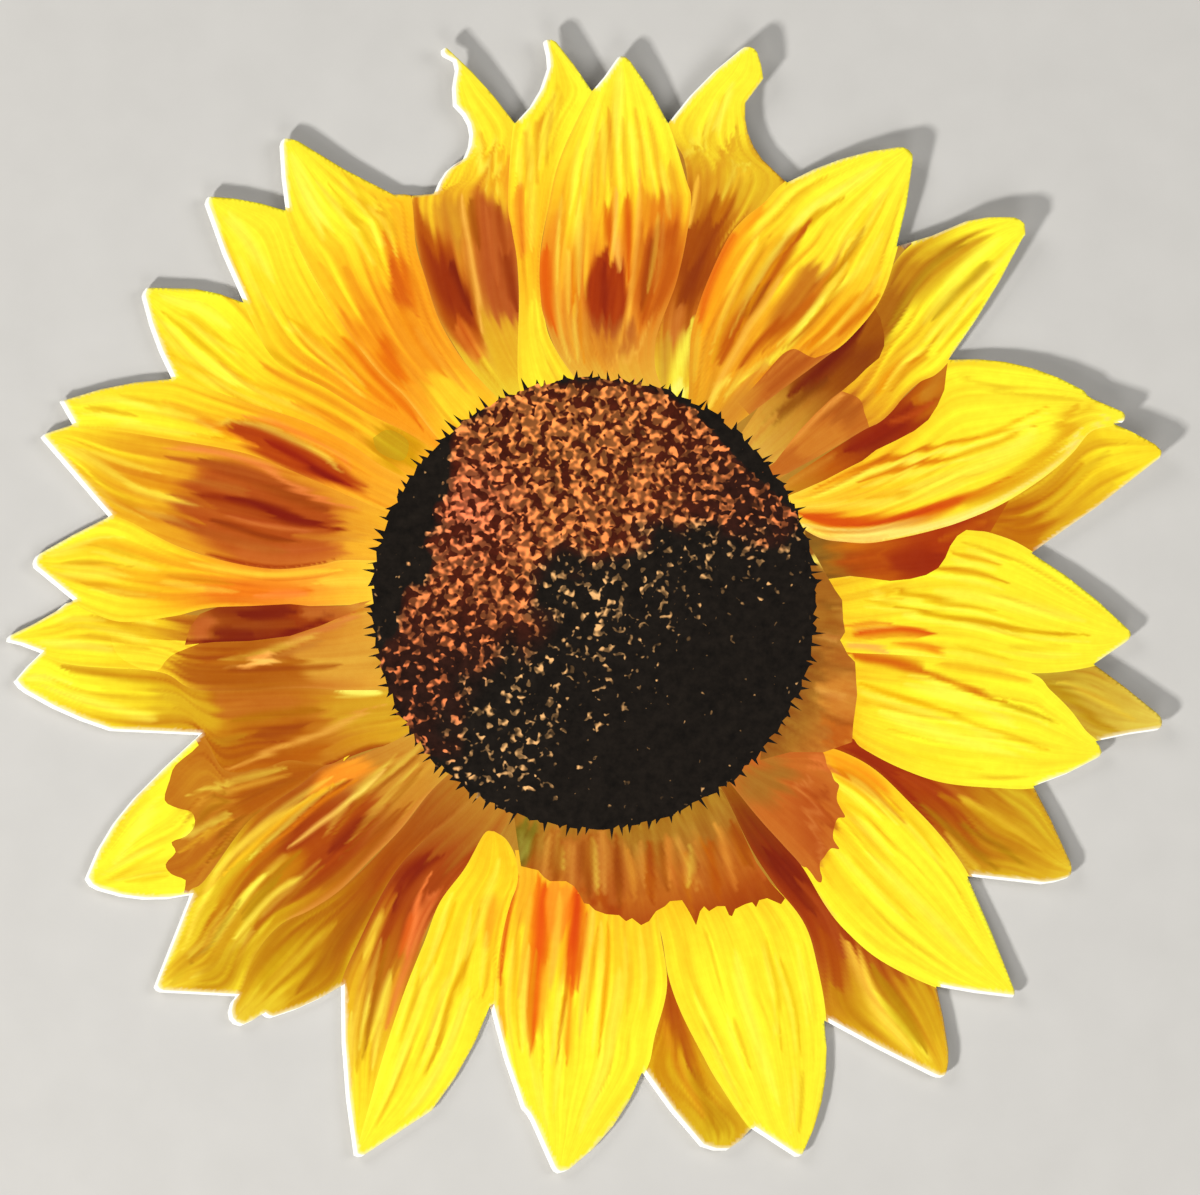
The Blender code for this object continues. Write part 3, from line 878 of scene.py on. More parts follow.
petal("four",
      "775,750 822,747 850,755 878,772 910,803 940,835 968,874 995,935 1016,985 1014,999",
      "720,770 756,815 783,845 803,868 825,905 845,930 880,960 935,987 975,996 1014,999",
      "E09028 FFB028 FFD82E FFEC36 FFF23A FFF23C FFF23C FFF040", [
    patch("FF9820", 14, 0.8, "828,752 860,762 880,780 868,790 840,775"),
    fold("E08010", 6, 0.85, "828,766 850,775 870,788 886,803 902,818"),
    fold("F0A020", 5, 0.8, "842,766 862,776 880,790 898,806"),
    fold("F0A818", 5, 0.75, "840,780 858,792 874,806 892,824"),
    fold("F8C020", 5, 0.6, "842,800 862,815 880,832 905,860"),
    fold("F0B818", 4, 0.6, "884,798 905,815 925,838 945,865"),
    fold("F8C828", 6, 0.6, "835,840 855,860 880,885 910,915"),
    stroke("FFF868", 10, 0.5, "865,850 900,885 940,925 980,965"),
    stroke("F0D030", 7, 0.5, "860,930 890,950 925,968"),
    sharp_patch("C4662E", 0.97, "700,745 820,742 822,750 825,757 827,766 831,772 834,780 839,785 "
        "837,793 837,801 841,809 845,817 838,818 834,827 833,838 837,845 839,849 832,848 828,851 "
        "824,857 820,862 820,870 822,877 821,882 817,881 812,874 806,867 802,866 783,850 756,820 "
        "700,780"),
    patch("A87030", 26, 0.9, "735,775 775,758 790,775 770,800 745,800"),
    patch("B85424", 20, 0.7, "790,790 820,790 826,830 812,855 795,830"),
    patch("E07840", 10, 0.8, "812,752 824,756 830,770 816,772"),
    stroke("D8824A", 6, 0.6, "800,770 808,800 815,835 815,860"),
    stroke("A8481C", 6, 0.6, "818,780 824,805 828,830"),
    stroke("FFD060", 3, 0.8, "803,870 812,887 826,906 846,930"),
], veins=0.06)
petal("half_past_five",
      "640,880 660,930 668,975 680,1010 700,1050 720,1085 750,1128 775,1145 797,1159",
      "745,860 780,892 805,925 817,965 826,1020 822,1080 805,1154 797,1159",
      "F8C828 FFE234 FFEE38 FFF23A FFF03C FFEE3C FFF040", [
    fold("E8B818", 4, 0.7, "778,950 788,980 795,1010 798,1045"),
    fold("ECC01C", 4, 0.6, "765,935 772,965 778,1000 778,1040"),
    fold("E8B020", 5, 0.6, "735,1020 742,1045 752,1075"),
    fold("F0C828", 5, 0.5, "700,990 712,1020 728,1060 748,1100"),
    fold("E0B020", 6, 0.6, "800,1060 800,1095 796,1130"),
    stroke("FFF868", 12, 0.5, "735,950 745,1000 760,1050 780,1110"),
    stroke("F8C828", 8, 0.5, "680,930 690,970 705,1005"),
    fold("F8D030", 6, 0.5, "805,945 812,985 816,1030"),
], veins=0.05)
print("areas so far:", len(AREAS), "on top:", AREAS[-1]["name"])

# %% [markdown]
# The petals below face the light, apart from the brown base of the left one. Their grooves, red-brown near
# the disc, are strokes and folds, each fold with its lit crest, because a groove alone would look like a
# scratch.

# %% Petals, below
petal("half_past_six_left",
      "485,785 455,815 430,835 403,862 383,892 362,935 341,984 335,1040 345,1100 351,1157 357,1160",
      "520,800 498,838 478,862 455,890 432,918 415,965 400,1015 385,1050 372,1110 357,1160",
      "C08838 B06828 A04018 AC4C18 C88424 E8B42A FCDE32 FFEC3A FFF040", [
    stroke("7A1806", 16, 0.8, "440,858 420,868 405,882 392,905"),
    patch("A8481C", 16, 0.8, "400,890 440,860 460,880 432,915 412,935"),
    stroke("FF8850", 7, 0.9, "426,878 420,902 413,930 405,962"),
    stroke("E86828", 6, 0.8, "415,905 408,930 400,955"),
    stroke("A85C10", 10, 0.8, "425,945 415,975 405,1000"),
    stroke("B86010", 7, 0.8, "390,930 380,965 372,1000"),
    fold("E0A020", 6, 0.7, "400,965 388,1005 378,1045"),
    stroke("FFF060", 7, 0.8, "392,975 382,1015 372,1060"),
    fold("C08814", 5, 0.7, "378,985 370,1020 362,1060"),
    stroke("F8D850", 5, 0.8, "380,918 370,940 360,965"),
    fold("D8A01C", 5, 0.7, "366,990 360,1030 356,1075"),
    stroke("FFF870", 6, 0.6, "352,1010 350,1060 354,1120"),
    stroke("E47444", 9, 0.75, "434,884 425,915 412,950 398,990 386,1030"),
    stroke("F0C040", 7, 0.7, "372,935 362,985 354,1040 350,1090"),
    fold("B07018", 5, 0.7, "392,930 378,985 366,1045"),
], veins=0.09)
petal("half_past_six",
      "494,831 484,834 465,868 440,902 425,940 405,990 385,1050 368,1110 354,1160",
      "494,831 506,839 515,855 520,877 510,905 501,950 500,1000 489,1008 470,1060 434,1113 390,1140 "
      "354,1160",
      "F8C828 FFD82E FFE434 FFEC38 FFF03A FFF03C FFF040", [
    fold("E0A010", 6, 0.85, "482,902 474,935 466,960 456,985 446,1010 437,1042"),
    fold("F0B818", 5, 0.8, "456,898 448,925 438,952 430,975"),
    patch("F8A828", 10, 0.8, "484,895 497,898 494,935 484,945"),
    fold("F0B020", 5, 0.7, "494,930 490,960 486,990"),
    fold("D89818", 5, 0.6, "452,1000 440,1040 425,1075"),
    fold("E8B820", 5, 0.6, "425,965 412,1005 400,1045"),
    stroke("FFF868", 9, 0.6, "470,985 455,1030 435,1075 405,1115"),
    stroke("FFF058", 7, 0.6, "500,860 490,890 478,925 465,955"),
    fold("F0C028", 6, 0.5, "415,1040 398,1085 378,1125"),
    stroke("FFF460", 8, 0.5, "435,960 422,1000 405,1050 388,1095"),
], veins=0.06)
petal("six",
      "515,850 518,880 507,915 499,955 494,1000 499,1040 508,1075 521,1108 531,1125 548,1168 557,1176",
      "640,850 655,890 660,930 667,985 655,1035 644,1074 600,1132 572,1170 557,1176",
      "F8B830 FFC830 FFD830 FFE834 FFEE38 FFF23A FFF03C FFF03C FFF040", [
    patch("F8B830", 8, 0.9, "520,868 534,868 543,880 540,930 524,930 516,900"),
    stroke("D84808", 5, 0.85, "519,878 511,905 506,930 502,960 501,985"),
    fold("F0A020", 5, 0.7, "502,975 502,1000 506,1035"),
    stroke("E85408", (8, 10), 0.95, "546,876 543,900 541,930 538,965 535,1000 531,1045"),
    fold("E89010", 6, 0.85, "537,950 533,980 531,1010 530,1055"),
    patch("FF9A30", 8, 0.9, "548,880 566,880 576,890 570,930 554,935 546,905"),
    stroke("FFC84A", 7, 0.8, "558,915 554,945 550,985"),
    stroke("D04808", 6, 0.95, "579,886 576,912 573,942 568,975"),
    fold("D87810", 5, 0.85, "571,960 566,995 561,1030 557,1065"),
    fold("E87820", 5, 0.8, "588,905 585,935 581,965 577,995"),
    stroke("FFC050", 5, 0.9, "592,902 592,925 590,950"),
    fold("F0A820", 5, 0.8, "598,925 594,955 590,985 586,1020"),
    fold("F0A010", 5, 0.85, "608,915 608,950 606,985 602,1025 598,1060"),
    stroke("FFC838", 9, 0.6, "548,950 544,990 542,1040"),
    fold("F0B020", 5, 0.6, "520,935 517,970 516,1010 520,1055"),
    fold("F8C428", 5, 0.5, "632,930 632,965 628,1005"),
    fold("F8D030", 6, 0.5, "648,930 652,970 648,1010"),
    stroke("FFF868", 12, 0.5, "620,960 615,1010 602,1070 580,1130"),
    stroke("FFF460", 7, 0.5, "524,960 524,1010 534,1070 548,1130"),
    fold("F0C428", 6, 0.5, "575,1010 568,1060 562,1110"),
    stroke("E04C08", (7, 9), 0.9, "580,885 577,920 574,960 570,1005"),
    stroke("F08818", 5, 0.8, "570,990 568,1030 566,1070"),
    stroke("FFD848", 7, 0.8, "592,900 588,940 584,985 580,1030"),
    stroke("FFC444", 6, 0.9, "561,884 559,912 555,950 551,990"),
    stroke("FFB838", 5, 0.8, "531,884 528,920 523,960 518,1000"),
], veins=0.06)
print("areas so far:", len(AREAS), "on top:", AREAS[-1]["name"])

# %% [markdown]
# The petals at the left and the lower left lie partly in shade. Their washes turn brown on the way from the
# disc, the shade ends in the small lobes of a sharp patch, and long pale strokes stand for the ribs that
# still catch some light.

# %% Petals, lower left
petal("half_past_eight",
      "430,690 400,690 340,690 300,688 200,690 160,672 75,665 41,651 20,660 11,682",
      "450,722 400,742 375,748 350,757 332,768 262,768 225,775 199,737 150,738 110,734 60,715 23,694 "
      "11,682",
      "D8B038 D8A028 C88028 B05C14 B86A18 D09020 E8C028 F8DC34 FFEC3A FFF040", [
    patch("D8A830", 20, 0.8, "330,700 390,690 400,720 340,728"),
    patch("C87830", 16, 0.7, "222,692 300,694 300,716 225,718"),
    stroke("A04A08", 11, 0.85, "310,724 285,731 258,733"),
    stroke("9A3808", 8, 0.85, "330,770 352,758 376,749 402,743"),
    stroke("B86010", 12, 0.8, "335,745 300,758 262,766 228,770"),
    stroke("E8A850", 6, 0.9, "385,704 352,719 322,734 292,745 262,757 228,772"),
    stroke("B07010", 8, 0.7, "330,708 300,712 262,716 225,722"),
    stroke("C08820", 8, 0.7, "250,735 225,742 205,745"),
    stroke("D0981C", 10, 0.8, "185,690 140,680 95,672 60,668"),
    patch("D8A828", 18, 0.8, "150,688 210,692 215,725 180,728 150,712"),
    stroke("FFF060", 8, 0.7, "170,722 125,712 80,698 40,685"),
    stroke("E8C028", 7, 0.6, "175,708 130,698 85,686"),
    stroke("FFF870", 7, 0.6, "60,680 40,676 22,680"),
    patch("FFF880", 4, 0.95, "336,691 352,687 368,682 380,679 380,694 355,695"),
    patch("A8A010", 5, 0.8, "358,676 374,674 380,682 362,684"),
])
petal("small_left",
      "420,595 380,598 335,610 290,616 215,616 165,612 115,603 74,599 57,609 30,624 8,636 4,642",
      "420,690 380,690 340,690 300,688 200,690 160,672 75,665 41,655 20,648 4,642",
      "D8A840 E0A040 C87830 B06018 B86820 F0C42C F8D830 FFE838 FFF040", [
    patch("B06018", 20, 0.8, "180,655 240,648 300,655 300,682 205,684 180,670"),
    patch("E0A848", 16, 0.8, "300,650 370,642 380,670 310,678"),
    stroke("D88048", 8, 0.8, "290,645 310,636 335,625 362,610"),
    stroke("A04C10", 6, 0.7, "345,665 310,668 270,670 230,670"),
    fold("C8843C", 6, 0.7, "330,640 295,652 262,662 225,668"),
    stroke("A85010", 6, 0.7, "240,652 215,658 195,664"),
    patch("FFB868", 4, 0.95, "242,664 268,652 276,652 275,660 258,667 246,668"),
    sharp_patch("FFE23C", 0.95, "110,634 150,639 198,642 188,648 174,654 165,662 158,670 140,668 "
        "118,655"),
    fold("E8B828", 6, 0.7, "150,650 115,640 80,632"),
    fold("D8A01C", 6, 0.6, "152,632 118,622 85,614"),
    stroke("FFF870", 8, 0.6, "120,650 80,645 35,642"),
    fold("F0D030", 5, 0.6, "110,628 75,625 45,628"),
])
petal("half_past_nine",
      "410,500 375,486 340,468 300,460 255,446 210,436 160,430 110,426 72,423 46,430 38,438",
      "410,565 345,560 320,565 275,569 225,561 175,545 108,519 75,480 38,438",
      "F8BC34 F0A838 E89830 E08C2C E0882A E09028 ECAC2A F8CC30 FFE638 FFF040", [
    patch("B04A20", 20, 0.88, "200,468 240,464 290,482 332,502 380,532 338,538 322,552 290,563 250,562 "
        "205,545 168,505"),
    patch("C4602C", 14, 0.8, "230,545 290,545 345,545 320,562 270,567 225,558"),
    stroke("A04818", 12, 0.8, "196,458 228,468 262,482 300,498 340,512"),
    stroke("F08850", 5, 0.85, "160,447 205,450 240,458 265,468 290,485 320,497 348,506 370,512"),
    stroke("6A0C04", 11, 0.9, "228,499 252,505 275,512 300,519 322,524"),
    stroke("8A2408", 9, 0.8, "192,494 230,501 268,510 305,520 348,532"),
    stroke("C86438", 5, 0.7, "215,512 245,520 280,527 315,534"),
    stroke("903808", 6, 0.8, "205,518 238,528 266,537 296,541"),
    stroke("C05C30", 6, 0.6, "225,540 260,548 300,550 340,548"),
    stroke("9A2C08", 5, 0.85, "196,550 225,559 250,564 275,567 300,566 345,559"),
    stroke("E09020", 10, 0.7, "155,475 180,490 205,505"),
    fold("E8A020", 6, 0.7, "130,478 160,488 190,496"),
    fold("D89020", 5, 0.6, "150,505 180,515 205,525"),
    fold("E8B020", 5, 0.6, "85,445 120,455 158,466"),
    stroke("FFF060", 8, 0.6, "60,445 100,465 145,490"),
    fold("E0A820", 5, 0.6, "85,470 120,495 155,515"),
    patch("F8B838", 20, 0.8, "345,515 380,512 385,555 352,552"),
    stroke("B45424", 10, 0.75, "170,458 205,464 245,474 280,486", ends=(0.6, 0.2)),
    stroke("AC4A1C", 11, 0.75, "158,492 195,500 235,508 275,516", ends=(0.6, 0.2)),
    stroke("B86028", 10, 0.7, "168,522 205,532 245,544 285,552", ends=(0.6, 0.2)),
    stroke("C07030", 8, 0.6, "182,478 215,484 250,492", ends=(0.6, 0.2)),
    stroke("E09838", 7, 0.6, "300,536 335,538 372,536"),
])
petal("nine",
      "410,562 345,560 320,565 275,569 225,561 175,545 108,515 60,538 37,554 31,563",
      "410,603 310,606 218,607 175,616 125,622 95,614 74,603 50,585 31,563",
      "FFDC50 FCC840 F8A038 F08828 F8A828 FCC82C FFDC34 FFE838 FFF040", [
    stroke("FFD848", 7, 0.8, "190,563 225,569 260,574 300,573 340,570"),
    stroke("F07C20", 14, 0.85, "205,588 240,592 275,592 312,590"),
    stroke("FF9048", 8, 0.8, "262,596 285,594 310,594"),
    stroke("FFD850", 8, 0.8, "318,582 345,581 378,580"),
    fold("E8A020", 6, 0.7, "170,575 205,580 240,585"),
    fold("E8B828", 5, 0.7, "100,545 130,555 165,566"),
    fold("D8A020", 4, 0.6, "60,562 95,562 135,567"),
    fold("E8B020", 5, 0.6, "90,582 125,588 165,592"),
    stroke("FFF870", 8, 0.6, "50,556 85,545 115,535"),
    stroke("FFF060", 8, 0.6, "60,575 100,575 140,578"),
], veins=0.08)
shade("under_nine_o_clock",
      pixels("200,614 218,607 250,606 290,604 310,606 345,606 372,600 348,614 320,626 290,636 250,641 "
             "215,642 185,645 190,628"),
      "E0A048 B05020 96380E 8A3010 9A4418 D08030", [
    stroke("7A2008", 12, 0.85, "300,612 270,612 240,616"),
    stroke("7A2008", 10, 0.8, "255,634 235,634 215,634"),
    stroke("7A1C04", 6, 0.9, "338,611 318,622 298,631 270,640 240,642 198,641 165,641"),
    stroke("A04C20", 7, 0.7, "300,622 265,625 230,626"),
    patch("C86838", 8, 0.8, "192,640 200,622 212,616 214,626 205,640"),
    patch("D08040", 10, 0.7, "310,606 345,606 332,616 312,618"),
], veins=0.12)
petal("eight",
      "350,755 325,765 290,760 262,768 225,770 199,733 165,763 133,796 108,840 82,879",
      "335,770 325,766 300,785 270,805 245,825 205,880 188,897 140,895 97,893 82,879",
      "F8D030 FFE434 FFF03C FFF23C FFF23C FFF23C FFF040", [
    fold("F0C828", 6, 0.6, "160,850 135,865 110,880"),
    fold("E8B820", 5, 0.6, "170,875 145,880 120,884"),
    stroke("FFFA70", 10, 0.5, "155,800 135,830 115,865"),
    sharp_patch("BC6E22", 0.97, "345,755 199,730 199,745 176,765 170,780 165,800 178,808 192,812 "
        "195,825 186,836 172,842 176,852 166,864 172,874 186,880 190,893 260,850 330,790"),
    patch("C88428", 18, 0.7, "185,770 215,770 225,800 200,815 180,800"),
    patch("A8500C", 20, 0.8, "240,775 300,765 325,768 290,790 250,812 235,800"),
    stroke("A85A10", 8, 0.7, "300,778 265,790 232,808 205,830"),
    fold("D89838", 6, 0.8, "290,775 250,785 215,795 190,802"),
    fold("E0A830", 6, 0.8, "235,818 215,830 195,842 180,852"),
    stroke("A86814", 8, 0.7, "225,790 205,812 190,832"),
    stroke("C88820", 7, 0.7, "215,850 200,862 186,872"),
    stroke("A0600C", 6, 0.7, "255,812 228,838 205,866"),
])
petal("seven",
      "430,715 400,738 368,752 340,762 322,767 300,785 270,805 245,825 205,880 188,893 170,935 154,979 "
      "151,989",
      "470,755 432,790 400,830 370,860 340,890 310,910 280,925 255,955 236,999 200,997 160,995 151,989",
      "D8A848 CC8C38 B8682C AC5418 B86818 D09C20 DCB028 ECC834 FFF060", [
    patch("D09038", 24, 0.8, "345,765 400,760 440,790 410,815 370,800"),
    patch("FF9830", 12, 0.85, "318,776 340,764 372,768 350,784 325,795 312,792"),
    patch("A84414", 22, 0.85, "300,812 345,795 378,802 372,835 345,862 310,872 292,850"),
    stroke("8A2A04", 12, 0.8, "372,812 352,832 332,850"),
    stroke("A04008", 8, 0.85, "345,782 322,800 300,828"),
    fold("E08010", 5, 0.85, "350,784 320,803 292,828 265,852 242,874"),
    fold("F8B828", 6, 0.8, "335,784 300,806 270,830 240,858 215,885"),
    stroke("FFE050", 7, 0.9, "312,795 280,815 250,838 222,866 200,905 182,950"),
    stroke("FFD878", 5, 0.95, "390,765 372,783 352,799 330,815 310,832 298,842"),
    patch("C07010", 16, 0.7, "260,850 295,845 300,872 270,890 250,885"),
    stroke("C88018", 9, 0.8, "250,865 228,890 212,918"),
    stroke("FFF060", 7, 0.9, "262,876 245,895 228,920 208,948"),
    stroke("B08010", 7, 0.8, "275,880 258,902 242,922"),
    stroke("FFF060", 6, 0.9, "308,873 288,884 268,900 250,920 232,942"),
    stroke("C89018", 8, 0.7, "290,905 265,928 240,955 215,975"),
    fold("E8C838", 6, 0.7, "270,922 245,948 220,970 195,985"),
    stroke("D88840", 9, 0.85, "432,790 402,828 372,858 342,888 312,908 282,924"),
    stroke("A85818", 8, 0.7, "410,800 378,838 345,870 312,896"),
    stroke("D8B028", 8, 0.6, "205,945 190,965 172,982"),
    patch("CC9C1C", 14, 0.7, "215,950 245,945 235,980 200,988"),
    fold("A86018", 5, 0.6, "420,770 385,810 350,850"),
    fold("B87018", 5, 0.6, "400,760 360,800 325,845"),
    fold("9A4C10", 4, 0.6, "430,745 395,775 365,800"),
    fold("C08820", 5, 0.6, "330,860 300,890 270,915"),
    fold("B08018", 5, 0.6, "300,850 270,880 240,915"),
    fold("A87818", 5, 0.6, "240,900 220,930 200,960"),
], veins=0.12)
print("areas so far:", len(AREAS), "on top:", AREAS[-1]["name"])

# %% [markdown]
# The upper left petals fan out flat. They are yellow at the tip and deepen to orange towards the disc, so
# each wash has its deeper inks near its start.

# %% Petals, upper left
petal("ten",
      "470,470 415,432 378,408 335,382 284,352 244,303 220,285 195,287 147,286 142,290",
      "430,525 368,482 330,455 280,432 225,415 170,380 150,335 139,299 142,290",
      "F8B830 F8B030 FCBC2C FFCC2C FFDC30 FFE634 FFEE38 FFF040", [
    stroke("F09820", 7, 0.7, "260,365 300,385 335,402 370,425"),
    fold("F0A820", 6, 0.7, "220,365 260,385 300,400 340,418"),
    fold("E8B818", 6, 0.7, "160,310 190,335 220,358 250,378"),
    fold("F8C828", 5, 0.6, "175,360 215,378 255,395 290,408"),
    fold("F0C020", 5, 0.6, "190,315 215,335 242,350"),
    stroke("FFF868", 10, 0.6, "160,296 195,305 228,325"),
    stroke("FFF460", 8, 0.5, "160,335 195,360 235,385"),
    patch("D09810", 14, 0.85, "375,440 388,426 408,432 424,446 416,462 396,470 380,460"),
    stroke("F08C1C", 8, 0.6, "300,405 335,420 365,438"),
    sharp_patch("C8A024", 0.8, "373,438 386,430 400,434 409,444 404,460 390,458 377,450"),
], veins=0.08)
petal("slim_left",
      "430,490 382,466 350,444 306,422 254,405 212,390 172,377 120,380 66,398 58,402",
      "410,522 340,492 290,470 240,452 160,438 110,430 72,427 60,410 58,402",
      "F8B438 F8A830 F8A028 F8B028 FCC82C FFDC32 FFE838 FFF040", [
    patch("B03C14", 10, 0.92, "230,424 252,422 277,429 302,442 322,456 342,466 357,479 370,489 350,488 "
        "328,481 298,475 278,465 254,450 236,437"),
    stroke("962008", 9, 0.85, "270,442 300,458 325,474 348,483"),
    stroke("7A1404", 5, 0.7, "300,462 322,473 338,480"),
    fold("FF9840", 6, 0.9, "238,415 268,420 300,434 330,450 352,470"),
    fold("E8A010", 6, 0.8, "240,426 228,434 205,437"),
    stroke("F08C20", 8, 0.7, "200,420 225,430 250,445"),
    fold("E0A820", 5, 0.8, "80,408 105,411 132,416"),
    fold("E8B828", 5, 0.6, "115,395 150,402 190,414"),
    stroke("FFF460", 7, 0.6, "75,402 110,400 150,408"),
    stroke("FFF060", 6, 0.5, "110,422 150,428 195,434"),
    fold("F0A828", 5, 0.6, "160,400 195,412 225,424"),
], veins=0.08)
petal("half_past_ten",
      "455,470 420,440 365,412 325,388 275,360 243,303 220,250 203,205 207,195",
      "470,470 435,435 405,397 375,368 340,320 305,260 287,211 250,200 212,194 207,195",
      "FCB830 F8A028 F89C24 FCB428 FFD42E FFE636 FFF03C FFF23E FFF040", [
    stroke("E87010", 8, 0.85, "340,335 358,354 375,375 394,395 410,411 421,428"),
    stroke("E87010", 7, 0.7, "330,345 350,368 372,390 395,408"),
    fold("F0A020", 5, 0.7, "320,335 345,358 368,382"),
    fold("F0B018", 5, 0.7, "285,318 308,332 330,352 350,375 370,395"),
    fold("E8B818", 6, 0.75, "215,330 245,343 272,358 300,374 325,387 348,400"),
    fold("F09820", 6, 0.75, "300,376 330,390 358,406 385,425"),
    fold("F8D028", 6, 0.5, "245,250 265,290 290,325"),
    fold("F8C828", 5, 0.5, "225,235 240,275 262,318"),
    stroke("FFFA70", 12, 0.5, "225,210 250,245 275,285"),
    stroke("F8A828", 9, 0.6, "300,330 325,355 350,380"),
], veins=0.06)
petal("eleven",
      "470,470 435,435 405,397 375,368 340,320 305,260 285,211 278,147 284,136",
      "520,420 485,385 463,360 447,335 436,312 426,280 416,245 411,197 394,193 345,165 299,139 284,136",
      "FFD838 FCC030 F8A42C F8A028 FCAC28 FFC82C FFDC34 FFEC3A FFF23E FFF040", [
    patch("FFD838", 16, 0.8, "425,385 445,370 475,395 462,425 440,420"),
    stroke("FFB848", 5, 0.9, "338,318 350,335 362,350 376,368 392,386 408,402 422,418 436,437"),
    patch("E06008", 14, 0.75, "372,335 392,345 404,375 396,385 378,362"),
    patch("D86018", 10, 0.85, "396,262 412,278 412,300 418,315 402,308 388,290"),
    stroke("E87818", 9, 0.7, "385,240 400,265 412,290 420,315"),
    patch("F09020", 16, 0.8, "338,312 372,312 380,340 350,342"),
    stroke("E88018", 8, 0.7, "395,300 408,325 425,350 445,375"),
    stroke("F08C1C", 7, 0.7, "365,345 385,368 405,390"),
    stroke("F8A838", 7, 0.6, "415,330 432,352 452,375 468,392"),
    stroke("F09820", 7, 0.6, "345,270 362,300 380,325"),
    stroke("F8B428", 7, 0.6, "320,262 340,292 358,318"),
    fold("E8B820", 6, 0.7, "325,180 345,205 365,235 382,262"),
    fold("ECC024", 5, 0.6, "345,175 365,200 382,230 396,255"),
    fold("F0C828", 5, 0.6, "300,170 315,205 335,245"),
    stroke("FFF868", 12, 0.6, "290,150 305,190 325,235"),
    stroke("F8B030", 7, 0.6, "395,205 405,235 415,265"),
    fold("E8A828", 5, 0.6, "378,200 392,225 402,252"),
], veins=0.08)
print("areas so far:", len(AREAS), "on top:", AREAS[-1]["name"])

# %% [markdown]
# The petal at the top lies over both of its neighbours, so it comes after them. The dark red heart near its
# base is made of soft patches and strokes laid one over another.

# %% The petal at the top
petal("top",
      "580,385 575,378 556,350 545,320 541,300 540,260 549,205 558,165 575,125 592,92 612,62 621,54",
      "668,400 656,372 655,345 660,325 668,305 677,280 686,240 691,200 686,180 669,126 648,85 631,62 "
      "621,54",
      "ECC050 E8AC44 E08C34 E88428 F29C2A FECA30 FFE438 FFEE3C FFF240 FFF240", [
    stroke("E86010", (6, 9), 0.85, "546,250 545,280 548,310 556,338"),
    stroke("F8A030", 8, 0.6, "556,215 554,250 556,290"),
    fold("E88010", 5, 0.8, "576,240 575,275 575,315"),
    fold("F0A028", 4, 0.7, "566,200 563,240 563,280"),
    fold("FFD040", 6, 0.85, "588,185 587,225 586,265 586,305"),
    fold("E89020", 4, 0.7, "580,295 580,330 584,365"),
    patch("A03010", 8, 0.92, "596,256 606,252 616,262 624,276 628,295 624,318 606,330 590,324 586,290"),
    patch("B45C2C", 12, 0.75, "590,318 622,316 636,322 628,350 606,360 592,345"),
    stroke("8A2408", 8, 0.7, "604,265 605,290 604,315"),
    stroke("B4441C", 6, 0.6, "616,275 619,298 615,318"),
    stroke("FFC060", 6, 0.85, "617,190 616,225 617,255 620,280"),
    stroke("D86010", 6, 0.85, "607,195 608,222 609,252"),
    stroke("D85A08", 7, 0.85, "627,190 627,225 628,255 630,280"),
    stroke("FFC050", 5, 0.9, "640,175 638,215 635,260 630,300 622,335 610,370"),
    patch("E07820", 16, 0.8, "645,195 672,198 680,235 645,245"),
    patch("BC5418", 16, 0.85, "643,232 676,225 680,260 670,295 650,318 636,300 638,262"),
    stroke("9A3C0C", 8, 0.7, "652,240 648,272 642,300"),
    fold("D88838", 5, 0.6, "664,215 662,248 655,285"),
    stroke("E8A040", 12, 0.7, "625,330 615,352 605,372"),
    patch("E09030", 14, 0.7, "588,330 615,335 605,360 588,365"),
    stroke("F0B050", 5, 0.7, "650,320 636,345 622,368"),
    fold("F0A830", 5, 0.6, "600,130 598,165 597,205"),
    fold("ECA028", 5, 0.65, "608,120 610,155 611,190"),
    fold("E8A828", 5, 0.6, "622,110 625,150 627,190"),
    fold("F0B02C", 5, 0.6, "634,110 641,145 645,185"),
    fold("F4B430", 5, 0.6, "648,120 656,155 662,195"),
    fold("F0B430", 5, 0.5, "586,140 581,175 577,210"),
    fold("E89C28", 6, 0.6, "668,160 674,190 678,220"),
    stroke("FFF868", 9, 0.6, "621,68 618,105 616,150"),
    stroke("FFF060", 6, 0.5, "600,100 590,140 583,180"),
    fold("F8B43C", 6, 0.6, "566,225 566,270 568,320 576,360"),
], veins=0.09)
print("areas so far:", len(AREAS), "on top:", AREAS[-1]["name"])

# %% [markdown]
# The printed disc throws a shadow on the petals below it and to its right. A real shadow would darken the
# light, but this one is printed, so it is an area of its own, with the ragged lower edge that it has in the
# picture.

# %% The disc's shadow on the petals
shade("shadow_on_the_right",
      pixels("790,500 800,530 815,555 828,578 835,590 842,600 843,620 845,632 840,640 848,655 855,662 "
             "856,680 857,695 855,710 853,725 852,742 824,752 790,752 760,760"),
      "9A6028 A86C2C B87030 C87C38 CC7830", [
    patch("A86828", 14, 0.8, "800,575 832,580 842,600 840,622 815,625"),
    patch("D08038", 12, 0.85, "825,680 856,680 855,718 830,715"),
    patch("B87030", 12, 0.7, "820,640 850,658 852,678 825,676"),
    patch("C06020", 10, 0.8, "830,722 853,722 850,742 825,745"),
    stroke("8A5420", 7, 0.6, "818,600 832,606 845,610"),
    stroke("D89050", 6, 0.6, "820,634 832,638 845,644"),
    stroke("9A5A24", 6, 0.6, "820,664 838,668 858,672"),
    stroke("DC9450", 6, 0.6, "822,692 840,697 858,700"),
    stroke("A05018", 6, 0.6, "822,716 840,720 856,722"),
    patch("F8D870", 7, 0.9, "812,560 824,553 842,555 838,565 824,567"),
], veins=0.12)
